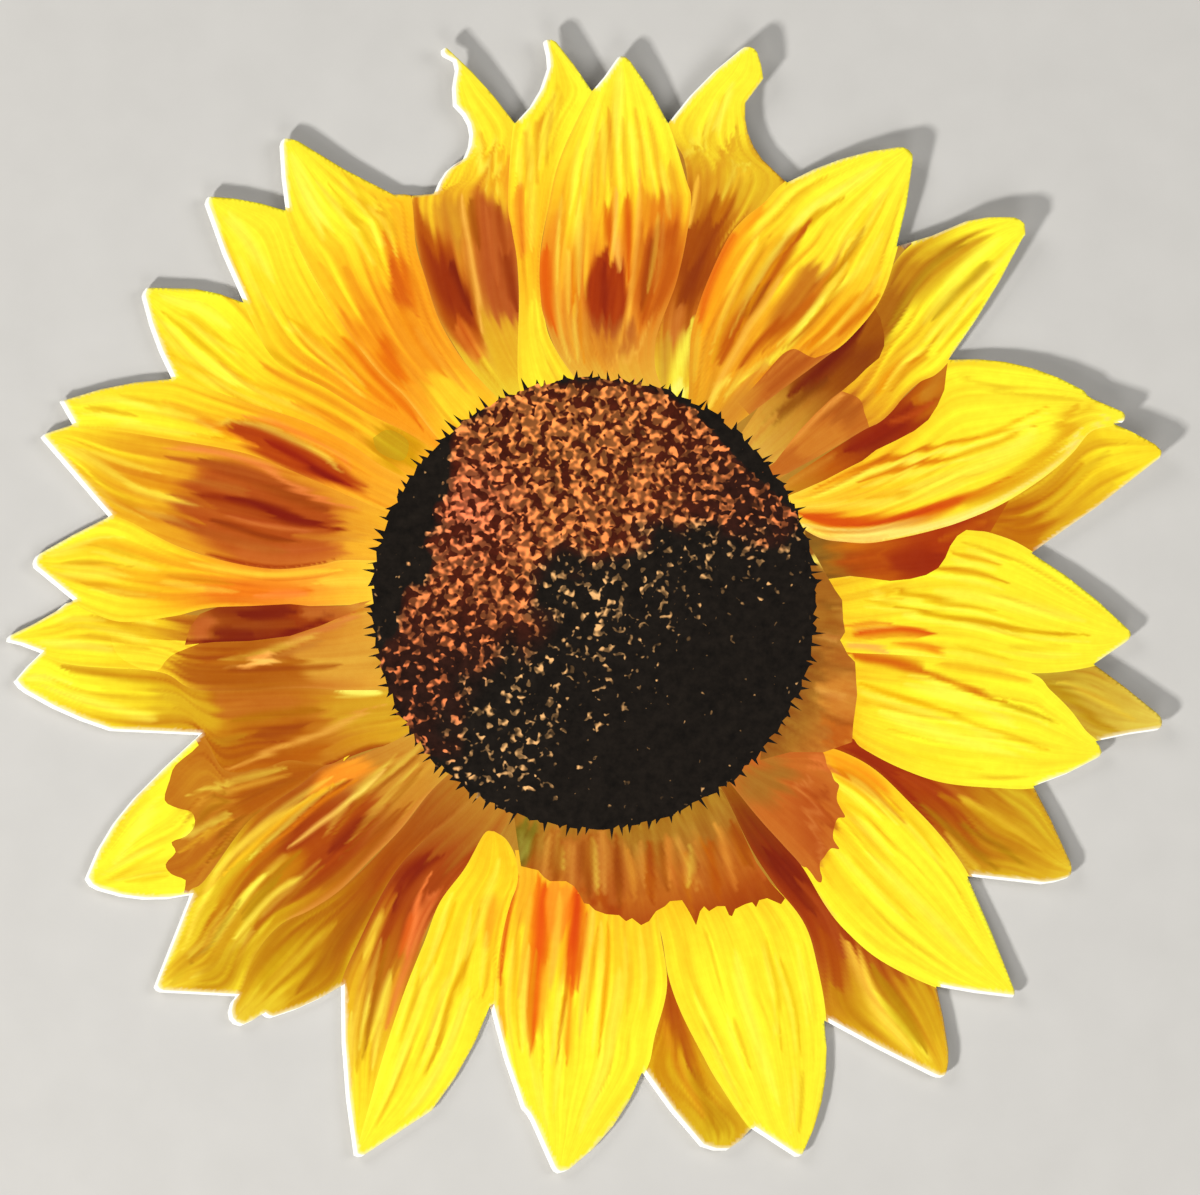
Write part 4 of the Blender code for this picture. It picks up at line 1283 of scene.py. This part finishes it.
shade("shadow_below",
      pixels("512,800 516,830 521,866 538,870 544,877 550,881 566,881 574,886 579,893 584,903 589,904 "
             "595,910 606,914 619,915 626,921 632,918 641,925 649,921 656,911 665,906 670,901 682,900 "
             "687,908 691,915 696,925 700,911 704,906 709,911 717,906 725,906 729,915 732,916 735,909 "
             "745,904 752,902 756,907 759,900 767,898 781,904 785,898 770,882 756,862 745,838 735,815 "
             "722,790 700,780 600,800"),
      "A87428 B07830 B86828 BC6424 A84818 A04414", [
    patch("B86028", 16, 0.7, "545,835 620,840 622,905 575,885"),
    patch("A84410", 10, 0.85, "575,888 595,896 620,902 622,916 600,911"),
    stroke("D88C38", 8, 0.8, "628,845 632,870 634,895"),
    stroke("A84808", 9, 0.85, "648,835 650,870 652,908"),
    stroke("D88038", 8, 0.8, "668,832 670,862 672,892"),
    stroke("C06818", 7, 0.8, "685,850 688,885 692,918"),
    fold("CC8038", 6, 0.7, "696,840 698,870 700,900"),
    stroke("B85808", 7, 0.85, "706,830 712,865 718,900"),
    stroke("E09040", 8, 0.8, "718,828 726,855 732,880"),
    stroke("A04808", 10, 0.85, "728,818 742,845 756,880"),
    stroke("C06028", 9, 0.8, "740,815 754,845 768,885"),
    stroke("A87020", 12, 0.7, "748,800 765,825 785,845"),
    fold("C87C34", 6, 0.6, "566,838 568,860 570,882"),
    stroke("9A4C14", 6, 0.7, "582,840 584,865 588,895"),
    fold("CC8440", 6, 0.7, "600,838 602,865 606,900"),
    stroke("984810", 6, 0.7, "616,838 618,870 620,908"),
    stroke("A85818", 6, 0.6, "550,835 550,855 552,876"),
    patch("7A6820", 7, 0.9, "510,825 524,822 536,828 534,852 524,866 514,860"),
    patch("A09A48", 6, 0.8, "520,834 528,834 528,855 521,855"),
    stroke("98480F", 7, 0.6, "535,838 531,866 528,893"),
    stroke("D89044", 6, 0.65, "548,838 545,866 542,893"),
    stroke("98480F", 7, 0.6, "560,838 558,866 556,893"),
    stroke("D89044", 6, 0.65, "574,838 573,866 572,893"),
    stroke("98480F", 7, 0.6, "590,838 590,866 590,893"),
    stroke("D89044", 6, 0.65, "603,838 604,866 604,893"),
    stroke("98480F", 7, 0.6, "616,838 617,866 619,893"),
    stroke("D89044", 6, 0.65, "640,838 643,866 646,893"),
    stroke("98480F", 7, 0.6, "660,838 664,866 668,893"),
    stroke("D89044", 6, 0.65, "680,838 685,866 690,893"),
], veins=0.14)
print("areas so far:", len(AREAS), "on top:", AREAS[-1]["name"])

# %% [markdown]
# The front is one mesh whose edges follow every line of the picture, so that each colour edge is sharp. A
# grid of quads could not turn with the petals. A triangulation that is made to keep given edges can: it gets
# the cut line, the print's edge, the petals' sides and the sharp patches, with rows of points between that
# follow each petal.

# %% Points and lines for the front, with their steps in pixels
LINE_STEP = 3.0
ROW_STEP = 4.6
POINT_STEP = 2.1
SHADE_STEP = 3.6
PLAIN_STEP = 5.0
DISC_STEP = 6.0
BACK_STEP = 22.0
CLEAR_OF_DISC_EDGE = 8
PRINT_SHIFT = np.array([4.0, -2.3])
GRID = 1300


def divided(segments, step=LINE_STEP):
    """The segments cut into equal lengths of about one step."""
    lengths = np.hypot(*(segments[:, 1] - segments[:, 0]).T)
    counts = np.maximum(1, np.round(lengths / step)).astype(int)
    owner = np.repeat(np.arange(len(segments)), counts)
    place = np.arange(counts.sum()) - np.repeat(np.cumsum(counts) - counts, counts)
    start, end = segments[owner, 0], segments[owner, 1]
    share = (place / counts[owner])[:, None]
    next_share = ((place + 1) / counts[owner])[:, None]
    return np.stack([start + (end - start) * share, start + (end - start) * next_share], 1)


def rows_of_points(area):
    """Rows across a petal, each row's points one point step apart, so that they also stand in lines along
    it."""
    first, second = area["rails"]
    length = np.hypot(*np.diff((first + second) / 2, axis=0).T).sum()
    along = np.linspace(0, 1, int(length / ROW_STEP))
    left, right = (read_off(along, np.linspace(0, 1, RUNGS), line) for line in (first, second))
    width = np.hypot(*(right - left).T)[:, None]
    over = (np.arange(int(width.max() / POINT_STEP) + 1) + 0.5 + np.zeros_like(width)) * POINT_STEP
    points = left[:, None] + (right - left)[:, None] * (over / np.maximum(width, TINY))[..., None]
    return points[over < width]


def square_points(step):
    """A square grid over the whole picture with every second row half a step over."""
    x, y = np.meshgrid(np.arange(0, PHOTO_SIZE[0], step), np.arange(0, PHOTO_SIZE[1], step))
    x = x + (np.arange(len(x)) % 2)[:, None] * step / 2
    return np.stack([x.ravel(), y.ravel()], -1)


def close_to(places, segments, reach):
    """True for each place whose pixel is at most the reach, in whole pixels, from one that the segments
    cross."""
    near = np.zeros((GRID, GRID), bool)
    x, y = np.round(divided(segments, 1.0).reshape(-1, 2)).astype(int).T[..., None, None]
    around = np.arange(-reach, reach + 1)
    near[np.clip(x + around[:, None], 0, GRID - 1), np.clip(y + around, 0, GRID - 1)] = True
    return near[tuple(np.clip(np.round(places).astype(int), 0, GRID - 1).T)]


# %% The lines of the front
cut_pieces = divided(CUT_EDGES)
print_edges = CUT_EDGES + PRINT_SHIFT
lines = [divided(print_edges)]
for area in AREAS:
    lines.append(divided(outline_edges(area["outline"])))
    lines += [divided(outline_edges(outline)) for _, _, outline in area["marks"] if outline is not None]
lines = np.vstack(lines)
lines = lines[within_edges(lines.mean(axis=1), CUT_EDGES)]
disc_edges = outline_edges(DISC_EDGE)
lines = lines[~within_edges(lines.mean(axis=1), disc_edges)]
lines = np.vstack([lines, divided(disc_edges)])
print("line pieces:", len(lines), "cut pieces:", len(cut_pieces))

# %% The points between the lines
points = []
for number, area in enumerate(AREAS):
    found = rows_of_points(area) if area["rails"] is not None else square_points(SHADE_STEP)
    points.append(found[topmost_area(found) == number])
bare = square_points(PLAIN_STEP)
points.append(bare[topmost_area(bare) < 0])
points = np.vstack(points)
points = points[~close_to(points, np.vstack([cut_pieces, lines]), 0)]
coarse = square_points(DISC_STEP)
coarse = coarse[np.hypot(*(coarse - DISC_CENTRE).T) < DISC_RADIUS - CLEAR_OF_DISC_EDGE]
points = np.vstack([points[~within_edges(points, disc_edges)], coarse])
points = points[within_edges(points, CUT_EDGES)]
print("points between the lines:", len(points))


# %% Triangulate the front
def triangulated(points, kept_edges, closeness):
    """The points and the triangles of a triangulation that keeps the given edges."""
    result = delaunay_2d_cdt(points.tolist(), kept_edges.tolist(), [], 0, closeness, False)
    return np.array([tuple(point) for point in result[0]]), np.array(result[2])


def turned(points, triangles, way):
    """The triangles, each with its corners in the order whose turn has the given sign."""
    a, b, c = (points[triangles[:, corner]] for corner in range(3))
    turn = (b[:, 0] - a[:, 0]) * (c[:, 1] - a[:, 1]) - (b[:, 1] - a[:, 1]) * (c[:, 0] - a[:, 0])
    return np.where((turn * way < 0)[:, None], triangles[:, ::-1], triangles)


all_ends = np.vstack([cut_pieces.reshape(-1, 2), lines.reshape(-1, 2)])
ends, index = np.unique(np.round(all_ends, 3), axis=0, return_inverse=True)
kept_edges = index.reshape(-1, 2)
kept_edges = kept_edges[kept_edges[:, 0] != kept_edges[:, 1]]
front_points, front_triangles = triangulated(np.vstack([ends, points]), kept_edges, 1e-4)
front_triangles = front_triangles[within_edges(front_points[front_triangles].mean(axis=1), CUT_EDGES)]
centroids = front_points[front_triangles].mean(axis=1)
front_triangles = turned(front_points, front_triangles, -1)
used, front_triangles = np.unique(front_triangles, return_inverse=True)
front_points, front_triangles = front_points[used], front_triangles.reshape(-1, 3)
print("front:", len(front_points), "points", len(front_triangles), "triangles")

# %% [markdown]
# The back has no picture, so it needs only enough points to follow the bend. It shares the cut line's points
# with the front, and a wall of triangles one card thick joins the two.

# %% The back and the cut edge
CLEAR_OF_RIM = 6
rim = sides_of(front_triangles)
_, again, uses = np.unique(np.sort(rim, axis=1), axis=0, return_inverse=True, return_counts=True)
rim = rim[uses[again.reshape(-1)] == 1]
rim_points, rim_index = np.unique(rim, return_inverse=True)
rim_index = rim_index.reshape(-1, 2)
rim_edges = front_points[rim]
inner = square_points(BACK_STEP)
inner = inner[within_edges(inner, rim_edges)]
inner = inner[~close_to(inner, rim_edges, CLEAR_OF_RIM)]
back_points, back_triangles = triangulated(np.vstack([front_points[rim_points], inner]), rim_index, 1e-5)
back_triangles = back_triangles[within_edges(back_points[back_triangles].mean(axis=1), rim_edges)]
back_triangles = turned(back_points, back_triangles, 1)
print("back:", len(back_points), "points", len(back_triangles), "triangles")

# %% [markdown]
# Each triangle takes its colours from the area on top at its middle, at its own three corners, so two
# triangles that meet on a line of the picture keep their own colours there. A corner that several triangles
# of one area share is painted once.

# %% Paint the areas
INWARD_STEP, INWARD_TRIES = 4, 11
GRAIN_LENGTH = 350
GRAIN_OFFSET = 0.013

owner_area = topmost_area(centroids)
for step in range(1, INWARD_TRIES + 1):
    bare = np.flatnonzero(owner_area < 0)
    inwards = DISC_CENTRE - centroids[bare]
    inwards /= np.hypot(*inwards.T)[:, None]
    owner_area[bare] = topmost_area(centroids[bare] + inwards * INWARD_STEP * step)
has_ink = within_edges(centroids, print_edges)
corner_colour = np.zeros((len(front_triangles), 3, 3))
corner_grain = np.zeros((len(front_triangles), 3, 2))
for number, area in enumerate(AREAS):
    rows = np.flatnonzero(owner_area == number)
    if not len(rows):
        continue
    side = np.zeros(len(rows), int)
    for _, _, outline in area["marks"]:
        if outline is not None:
            side = side * 2 + inside(centroids[rows], outline)
    key = front_triangles[rows] + side[:, None] * len(front_points)
    _, first, again = np.unique(key.ravel(), return_index=True, return_inverse=True)
    places = front_points[front_triangles[rows].ravel()[first]]
    owners = np.repeat(centroids[rows], 3, axis=0)[first]
    colour = paint_area(area, number, places, owners)
    across, along, half_width = area_coordinates(area, places)
    grain = np.stack([across * np.percentile(half_width, 90), along * GRAIN_LENGTH], -1)
    grain = grain * METRES_PER_PIXEL + number * GRAIN_OFFSET
    corner_colour[rows] = colour[again.reshape(-1)].reshape(-1, 3, 3)
    corner_grain[rows] = grain[again.reshape(-1)].reshape(-1, 3, 2)
print("triangles with no area:", int((owner_area < 0).sum()), "white rim:", int((~has_ink).sum()))

# %% [markdown]
# The disc's florets are painted over the areas. At the print's own edge the ink thins out over two and a half
# pixels, and beyond it the bare coated board shows, almost white.

# %% Paint the disc and the rim
FADE_WIDTH = 2.6
FADE_WAYS = 8
FADE_CONTRAST = 1.25
CLOSE_TO_EDGE = 4
THIN_INK, BARE_BOARD = "FFF8D0", "FFFEF4"
GLOSS_LIGHT, LEAST_LIGHT = 0.004, 0.001
INK_BALANCE = np.array([1.0, 0.97, 0.62])


def linear(colour):
    """sRGB values from 0 to 1 as linear light: the curve that screens and paints are given in, undone."""
    colour = np.asarray(colour, float)
    return np.where(colour <= 0.04045, colour / 12.92, ((colour + 0.055) / 1.055) ** 2.4)


def ink_light(colour):
    """The ink's own linear colour: the one read from the photograph, balanced for this studio's light,
    less the light that the ink's gloss adds."""
    return np.maximum(linear(colour) * INK_BALANCE - GLOSS_LIGHT, LEAST_LIGHT)


in_disc = within_edges(centroids, disc_edges)
florets, thickly = disc_paint(front_points)
corner_disc = np.repeat(in_disc[:, None], 3, axis=1)
corner_thickly = np.where(corner_disc, thickly[front_triangles], 0)
corner_colour[in_disc] = florets[front_triangles[in_disc]]

edge_points = np.flatnonzero(close_to(front_points, print_edges, CLOSE_TO_EDGE))
turns = np.linspace(0, 2 * np.pi, FADE_WAYS, endpoint=False)
around = FADE_WIDTH * np.stack([np.cos(turns), np.sin(turns)], 1)
cover = np.ones(len(front_points))
covers = [within_edges(front_points[edge_points] + way, print_edges) for way in around]
cover[edge_points] = np.mean(covers, axis=0)
thin_ink = np.clip((1 - cover[front_triangles]) * FADE_CONTRAST, 0, 1)[..., None]
corner_colour = ink_light(corner_colour) * (1 - thin_ink) + linear(ink(THIN_INK)) * thin_ink
corner_colour[~has_ink] = linear(ink(BARE_BOARD))
print("triangles in the disc:", int(in_disc.sum()), "points where the ink thins:", int((cover < 1).sum()))

# %% [markdown]
# The sheet is one closed mesh: the front and the back, each at its own height, and the wall between them. The
# colours are kept for each corner of each triangle, so that a line of the picture stays sharp, and the finish
# of each face follows from what it is: print, bare back or cut edge.

# %% Build the card
front_xy, back_xy = to_metres(front_points), to_metres(back_points)
front_xyz = np.column_stack([front_xy, back_height(front_xy) + THICKNESS])
back_xyz = np.column_stack([back_xy, back_height(back_xy)])
start, end = rim_index[:, 0], rim_index[:, 1]
front_start, front_end = rim_points[start], rim_points[end]
below = len(front_xyz)
walls = np.vstack([np.column_stack([front_end, front_start, below + start]),
                   np.column_stack([front_end, below + start, below + end])])
faces = np.vstack([front_triangles, back_triangles + below, walls])
vertices = np.vstack([front_xyz, back_xyz])

mesh = bpy.data.meshes.new("printed_sunflower_card")
mesh.vertices.add(len(vertices))
mesh.vertices.foreach_set("co", vertices.ravel())
mesh.loops.add(len(faces) * 3)
mesh.loops.foreach_set("vertex_index", faces.ravel())
mesh.polygons.add(len(faces))
mesh.polygons.foreach_set("loop_start", np.arange(len(faces)) * 3)
mesh.polygons.foreach_set("loop_total", np.full(len(faces), 3))
mesh.update(calc_edges=True)
mesh.validate(verbose=False)
card = bpy.data.objects.new("printed_sunflower", mesh)
bpy.context.scene.collection.objects.link(card)
print("card:", len(vertices), "points", len(faces), "triangles")

# %% Faces, colours and grain
counts = (len(front_triangles), len(back_triangles), len(walls))
mesh.polygons.foreach_set("material_index", np.repeat([0, 1, 2], counts))
mesh.polygons.foreach_set("use_smooth", np.repeat([True, True, False], counts))
paint = np.ones((len(faces), 3, 4))
paint[:counts[0], :, :3] = corner_colour
kinds = np.zeros((len(faces), 3, 4))
kinds[..., 3] = 1
kinds[:counts[0], :, 0] = has_ink[:, None]
kinds[:counts[0], :, 1] = corner_disc
kinds[:counts[0], :, 2] = corner_thickly
grain = np.zeros((len(faces), 3, 2))
grain[:counts[0]] = corner_grain
for name, values in (("print_colour", paint), ("print_kind", kinds)):
    layer = mesh.color_attributes.new(name, "FLOAT_COLOR", "CORNER")
    layer.data.foreach_set("color", values.ravel())
layer = mesh.uv_layers.new(name="petal_grain")
layer.data.foreach_set("uv", grain.ravel())
print("printed, back and cut-edge triangles:", *counts)

# %% [markdown]
# Every finish is a node material. One function adds a node, sets its plain values and links its inputs, which
# keeps a material short enough to read as a list of steps.

# %% Node helper
MATH, VECTOR_MATH, NOISE = "ShaderNodeMath", "ShaderNodeVectorMath", "ShaderNodeTexNoise"
MIX, PRINCIPLED = "ShaderNodeMix", "ShaderNodeBsdfPrincipled"
OPERATIONS = ("ADD", "SUBTRACT", "MULTIPLY", "DIVIDE", "POWER", "MULTIPLY_ADD", "SCALE")
ADD, SUBTRACT, MULTIPLY, DIVIDE, POWER, MULTIPLY_ADD, SCALE = [{"operation": word} for word in OPERATIONS]
CLAMPED = {"use_clamp": True}
COLOURS = {"data_type": "RGBA"}


def add_node(tree, kind, settings=None, **inputs):
    """Add a node of a kind, set its properties, and set or link its inputs, each by its name, or by _ and
    its number. A node given as an input is linked by its first output."""
    node = tree.nodes.new(kind)
    for name, value in (settings or {}).items():
        setattr(node, name, value)
    for name, value in inputs.items():
        socket = node.inputs[int(name[1:]) if name[1:].isdigit() else name.replace("_", " ")]
        if isinstance(value, bpy.types.Node):
            value = value.outputs[0]
        if isinstance(value, bpy.types.NodeSocket):
            tree.links.new(value, socket)
        else:
            socket.default_value = value
    return node


def new_material(name):
    """An empty node material."""
    material = bpy.data.materials.new(name)
    material.use_nodes = True
    material.node_tree.nodes.clear()
    return material


def rgba(code):
    """A hex colour as a linear colour for a socket."""
    return tuple(float(value) for value in linear(ink(code))) + (1.0,)


# %% [markdown]
# The front is art card, a white board with a chalk coating, printed by offset. The ink lies on the coating
# and keeps its shine: a soft satin, IOR 1.5 and roughness about 0.3. Close up the colour is slightly mottled,
# about half a millimetre across, and the picture has fine veins along each petal, a quarter of a millimetre
# apart. The veins read the petal_grain map, whose u runs across a petal and v along it, both in metres.

# %% Coated art card, offset print: the petals
VEIN_SPACING, VEIN_LENGTH = 0.00026, 0.0110
MOTTLE_SIZE = 0.0006
VEIN_CONTRAST, MOTTLE_CONTRAST = 0.26, 0.20
RED_SHARE, BLUE_SHARE = 0.35, 1.6
front_finish = new_material("coated_art_card_offset_print")
tree = front_finish.node_tree
place = add_node(tree, "ShaderNodeTexCoord").outputs["Object"]
print_colour = add_node(tree, "ShaderNodeAttribute", {"attribute_name": "print_colour"})
print_kind = add_node(tree, "ShaderNodeAttribute", {"attribute_name": "print_kind"})
inked, disc, thick = add_node(tree, "ShaderNodeSeparateColor", Color=print_kind).outputs
petal_map = add_node(tree, "ShaderNodeUVMap", {"uv_map": "petal_grain"})
vein_scale = (1 / VEIN_SPACING, 1 / VEIN_LENGTH, 1)
vein_place = add_node(tree, "ShaderNodeMapping", Vector=petal_map, Scale=vein_scale)
veins = add_node(tree, NOISE, {"noise_dimensions": "2D"}, Vector=vein_place, Scale=1.0, Detail=2.0,
                 Roughness=0.6)
mottle = add_node(tree, NOISE, Vector=place, Scale=1 / MOTTLE_SIZE, Detail=3.0, Roughness=0.6)
on_petals = add_node(tree, MATH, SUBTRACT | CLAMPED, _0=inked, _1=disc)
centred_veins = add_node(tree, MATH, SUBTRACT, _0=veins, _1=0.5)
vein_tone = add_node(tree, MATH, MULTIPLY, _0=centred_veins, _1=VEIN_CONTRAST)
centred_mottle = add_node(tree, MATH, SUBTRACT, _0=mottle, _1=0.5)
mottle_tone = add_node(tree, MATH, MULTIPLY, _0=centred_mottle, _1=MOTTLE_CONTRAST)
both_tones = add_node(tree, MATH, ADD, _0=vein_tone, _1=mottle_tone)
tone = add_node(tree, MATH, MULTIPLY, _0=both_tones, _1=on_petals)
tint = add_node(tree, "ShaderNodeCombineXYZ",
                X=add_node(tree, MATH, MULTIPLY_ADD, _0=tone, _1=RED_SHARE, _2=1.0),
                Y=add_node(tree, MATH, ADD, _0=tone, _1=1.0),
                Z=add_node(tree, MATH, MULTIPLY_ADD, _0=tone, _1=BLUE_SHARE, _2=1.0))
petal_colour = add_node(tree, VECTOR_MATH, MULTIPLY, _0=print_colour, _1=tint)
print("front finish nodes for the petals:", len(tree.nodes))

# %% [markdown]
# The disc's florets are too many to draw one by one, about half a millimetre each, so a noise of that size is
# cut at a level: what lies above it is a floret, and what lies below is the dark gap beside it. The level
# falls where the print_kind attribute says that the florets stand thickly. Two more noises make some florets
# paler and whole clumps of them lighter or darker.

# %% Coated art card, offset print: the disc
FLORET_SIZE, FLECK_SIZE, CLUMP_SIZE = 0.00052, 0.00042, 0.0019
FLORET_EDGE = 0.08
LEVEL_WHERE_BARE, LEVEL_DROP = 0.73, 0.30
FLECK_FROM, FLECK_RISE, FLECK_CURVE = 0.40, 0.28, 1.5
DULL_TONE, FLECK_TONE, CLUMP_CONTRAST = 0.42, 2.1, 1.1
LIT_FROM = 0.50
BARE_GAP, LIT_GAP = "17110B", "4A1605"
florets = add_node(tree, NOISE, Vector=place, Scale=1 / FLORET_SIZE, Detail=1.0, Roughness=0.5,
                   Distortion=0.35)
flecks = add_node(tree, NOISE, Vector=place, Scale=1 / FLECK_SIZE, Detail=0.0, Distortion=0.3)
clumps = add_node(tree, NOISE, Vector=place, Scale=1 / CLUMP_SIZE, Detail=1.0)
level = add_node(tree, MATH, MULTIPLY_ADD, _0=thick, _1=-LEVEL_DROP, _2=LEVEL_WHERE_BARE)
height = add_node(tree, MATH, SUBTRACT, _0=florets, _1=level)
floret = add_node(tree, MATH, DIVIDE | CLAMPED, _0=height, _1=FLORET_EDGE)
fleck_height = add_node(tree, MATH, SUBTRACT, _0=flecks, _1=FLECK_FROM)
fleck = add_node(tree, MATH, DIVIDE | CLAMPED, _0=fleck_height, _1=FLECK_RISE)
fleck_curve = add_node(tree, MATH, POWER, _0=fleck, _1=FLECK_CURVE)
fleck_tone = add_node(tree, MATH, MULTIPLY_ADD, _0=fleck_curve, _1=FLECK_TONE, _2=DULL_TONE)
centred_clumps = add_node(tree, MATH, SUBTRACT, _0=clumps, _1=0.5)
clump_tone = add_node(tree, MATH, MULTIPLY, _0=centred_clumps, _1=CLUMP_CONTRAST)
floret_tone = add_node(tree, MATH, ADD, _0=fleck_tone, _1=clump_tone)
floret_colour = add_node(tree, VECTOR_MATH, SCALE, _0=print_colour, Scale=floret_tone)
past_dim = add_node(tree, MATH, SUBTRACT, _0=thick, _1=LIT_FROM)
lit = add_node(tree, MATH, DIVIDE | CLAMPED, _0=past_dim, _1=1 - LIT_FROM)
gap_colour = add_node(tree, MIX, COLOURS, _0=lit, _6=rgba(BARE_GAP), _7=rgba(LIT_GAP)).outputs[2]
gap_tone = add_node(tree, MATH, MULTIPLY, _0=mottle, _1=2.0)
deep = add_node(tree, VECTOR_MATH, SCALE, _0=gap_colour, Scale=gap_tone)
disc_colour = add_node(tree, MIX, COLOURS, _0=floret, _6=deep, _7=floret_colour).outputs[2]
print("front finish nodes with the disc:", len(tree.nodes))

# %% Coated art card, offset print: its surface
TOOTH_SIZE, TOOTH_DEPTH = 0.00025, 0.00002
SATIN_ROUGHNESS, ROUGHNESS_MOTTLE = 0.26, 0.12
colour = add_node(tree, MIX, COLOURS, _0=disc, _6=petal_colour, _7=disc_colour).outputs[2]
tooth = add_node(tree, NOISE, Vector=place, Scale=1 / TOOTH_SIZE, Detail=2.0)
bump = add_node(tree, "ShaderNodeBump", Height=tooth, Strength=0.12, Distance=TOOTH_DEPTH)
gloss = add_node(tree, MATH, MULTIPLY_ADD, _0=mottle, _1=ROUGHNESS_MOTTLE, _2=SATIN_ROUGHNESS)
shader = add_node(tree, PRINCIPLED, Base_Color=colour, Roughness=gloss, IOR=1.5, Specular_IOR_Level=0.3,
                  Normal=bump)
add_node(tree, "ShaderNodeOutputMaterial", Surface=shader)
print("front finish nodes:", len(tree.nodes))

# %% [markdown]
# The back is the same board without its coating: a warm grey-white with fibres two thirds of a millimetre
# long, quite matt. The cut edge shows the board's plies, so its grain is drawn out flat along the sheet.

# %% Uncoated board, and its cut edge
FIBRE_DEPTH = 0.00003


def board_finish(name, light, dark, sizes, strength):
    """Uncoated board, matt and with a tooth: two close whites mixed by a noise that is stretched to the
    given sizes in metres."""
    material = new_material(name)
    tree = material.node_tree
    place = add_node(tree, "ShaderNodeTexCoord").outputs["Object"]
    spread = add_node(tree, "ShaderNodeMapping", Vector=place, Scale=tuple(1 / size for size in sizes))
    fibres = add_node(tree, NOISE, Vector=spread, Scale=1.0, Detail=4.0, Roughness=0.65)
    mixed = add_node(tree, MIX, COLOURS, _0=fibres, _6=rgba(dark), _7=rgba(light)).outputs[2]
    bump = add_node(tree, "ShaderNodeBump", Height=fibres, Strength=strength, Distance=FIBRE_DEPTH)
    shader = add_node(tree, PRINCIPLED, Base_Color=mixed, Roughness=0.85, IOR=1.45, Normal=bump)
    add_node(tree, "ShaderNodeOutputMaterial", Surface=shader)
    return material


back_finish = board_finish("uncoated_white_board", "F4F1E8", "DDD8CA", (0.0007, 0.0003, 0.0005), 0.35)
edge_finish = board_finish("cut_board_edge", "FBF8F0", "D9D2C0", (0.0006, 0.0006, 0.00006), 0.25)
for finish in (front_finish, back_finish, edge_finish):
    card.data.materials.append(finish)
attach(card, "root")
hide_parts("printed_card")
print("finishes:", [finish.name for finish in card.data.materials])

# %% [markdown]
# The studio is a pale floor, one soft key light low at the lower left, which throws the raised petals' shadow
# to the upper right as in the photograph, and three broad fill lights. A plain flat floor is enough, since
# only its colour and the shadow show. Its finish is matt paint with a faint mottle.

# %% The floor
FLOOR_HALF = 0.6
FLOOR_MOTTLE = 0.004
floor_mesh = bpy.data.meshes.new("studio_floor")
floor_corners = [(-FLOOR_HALF, -FLOOR_HALF, 0), (FLOOR_HALF, -FLOOR_HALF, 0),
                 (FLOOR_HALF, FLOOR_HALF, 0), (-FLOOR_HALF, FLOOR_HALF, 0)]
floor_mesh.from_pydata(floor_corners, [], [(0, 1, 2, 3)])
floor = bpy.data.objects.new("studio_floor", floor_mesh)
bpy.context.scene.collection.objects.link(floor)
floor_finish = new_material("matt_painted_floor")
tree = floor_finish.node_tree
place = add_node(tree, "ShaderNodeTexCoord").outputs["Object"]
cloud = add_node(tree, NOISE, Vector=place, Scale=1 / FLOOR_MOTTLE, Detail=4.0)
tint = add_node(tree, MIX, COLOURS, _0=cloud, _6=rgba("C9C6C0"), _7=rgba("D2CFC9")).outputs[2]
shader = add_node(tree, PRINCIPLED, Base_Color=tint, Roughness=0.9)
add_node(tree, "ShaderNodeOutputMaterial", Surface=shader)
floor_mesh.materials.append(floor_finish)
print("floor in m:", 2 * FLOOR_HALF)


# %% Lights
def softbox(name, place, size, power):
    """A square area light at a place in metres, turned to the flower's middle, with its side in metres and
    its power in watts."""
    light = bpy.data.lights.new(name, "AREA")
    light.shape = "SQUARE"
    light.size = size
    light.energy = power
    lamp = bpy.data.objects.new(name, light)
    bpy.context.scene.collection.objects.link(lamp)
    lamp.location = place
    way = -np.array(place)
    level = math.hypot(way[0], way[1])
    lamp.rotation_euler = (math.atan2(level, -way[2]), 0, math.atan2(way[1], way[0]) - math.pi / 2)


softbox("key_light", (-0.46, -0.42, 0.44), size=0.10, power=5.2)
softbox("left_fill", (-0.55, 0.45, 0.50), size=0.40, power=1.9)
softbox("right_fill", (0.60, 0.10, 0.50), size=0.40, power=1.9)
softbox("near_fill", (0.10, -0.65, 0.50), size=0.40, power=1.5)
world = bpy.data.worlds.new("studio_air")
bpy.context.scene.world = world
world.use_nodes = True
world.node_tree.nodes["Background"].inputs["Color"].default_value = (1.0, 1.0, 1.0, 1.0)
world.node_tree.nodes["Background"].inputs["Strength"].default_value = 0.12
bpy.context.scene.view_settings.view_transform = "Standard"

# %% [markdown]
# The photograph looks straight down. A long lens from 0.6 m keeps the card nearly free of perspective, as a
# scanner would. The frame's 1200 pixels cover 79 mm, and its middle is a little off the flower's.

# %% The camera
CAMERA_HEIGHT = 0.6
SENSOR_MM = 36.0
frame_width = PHOTO_SIZE[0] * METRES_PER_PIXEL
view = bpy.data.cameras.new("straight_down")
view.sensor_fit = "HORIZONTAL"
view.sensor_width = SENSOR_MM
view.lens = SENSOR_MM * CAMERA_HEIGHT / frame_width
view.clip_start = 0.01
view.clip_end = 10.0
camera = bpy.data.objects.new("straight_down", view)
bpy.context.scene.collection.objects.link(camera)
middle = to_metres([[side / 2 for side in PHOTO_SIZE]])[0]
camera.location = (middle[0], middle[1], CAMERA_HEIGHT)
bpy.context.scene.camera = camera
print("lens in mm:", round(view.lens, 1), "frame in mm:", round(frame_width * 1000, 2))
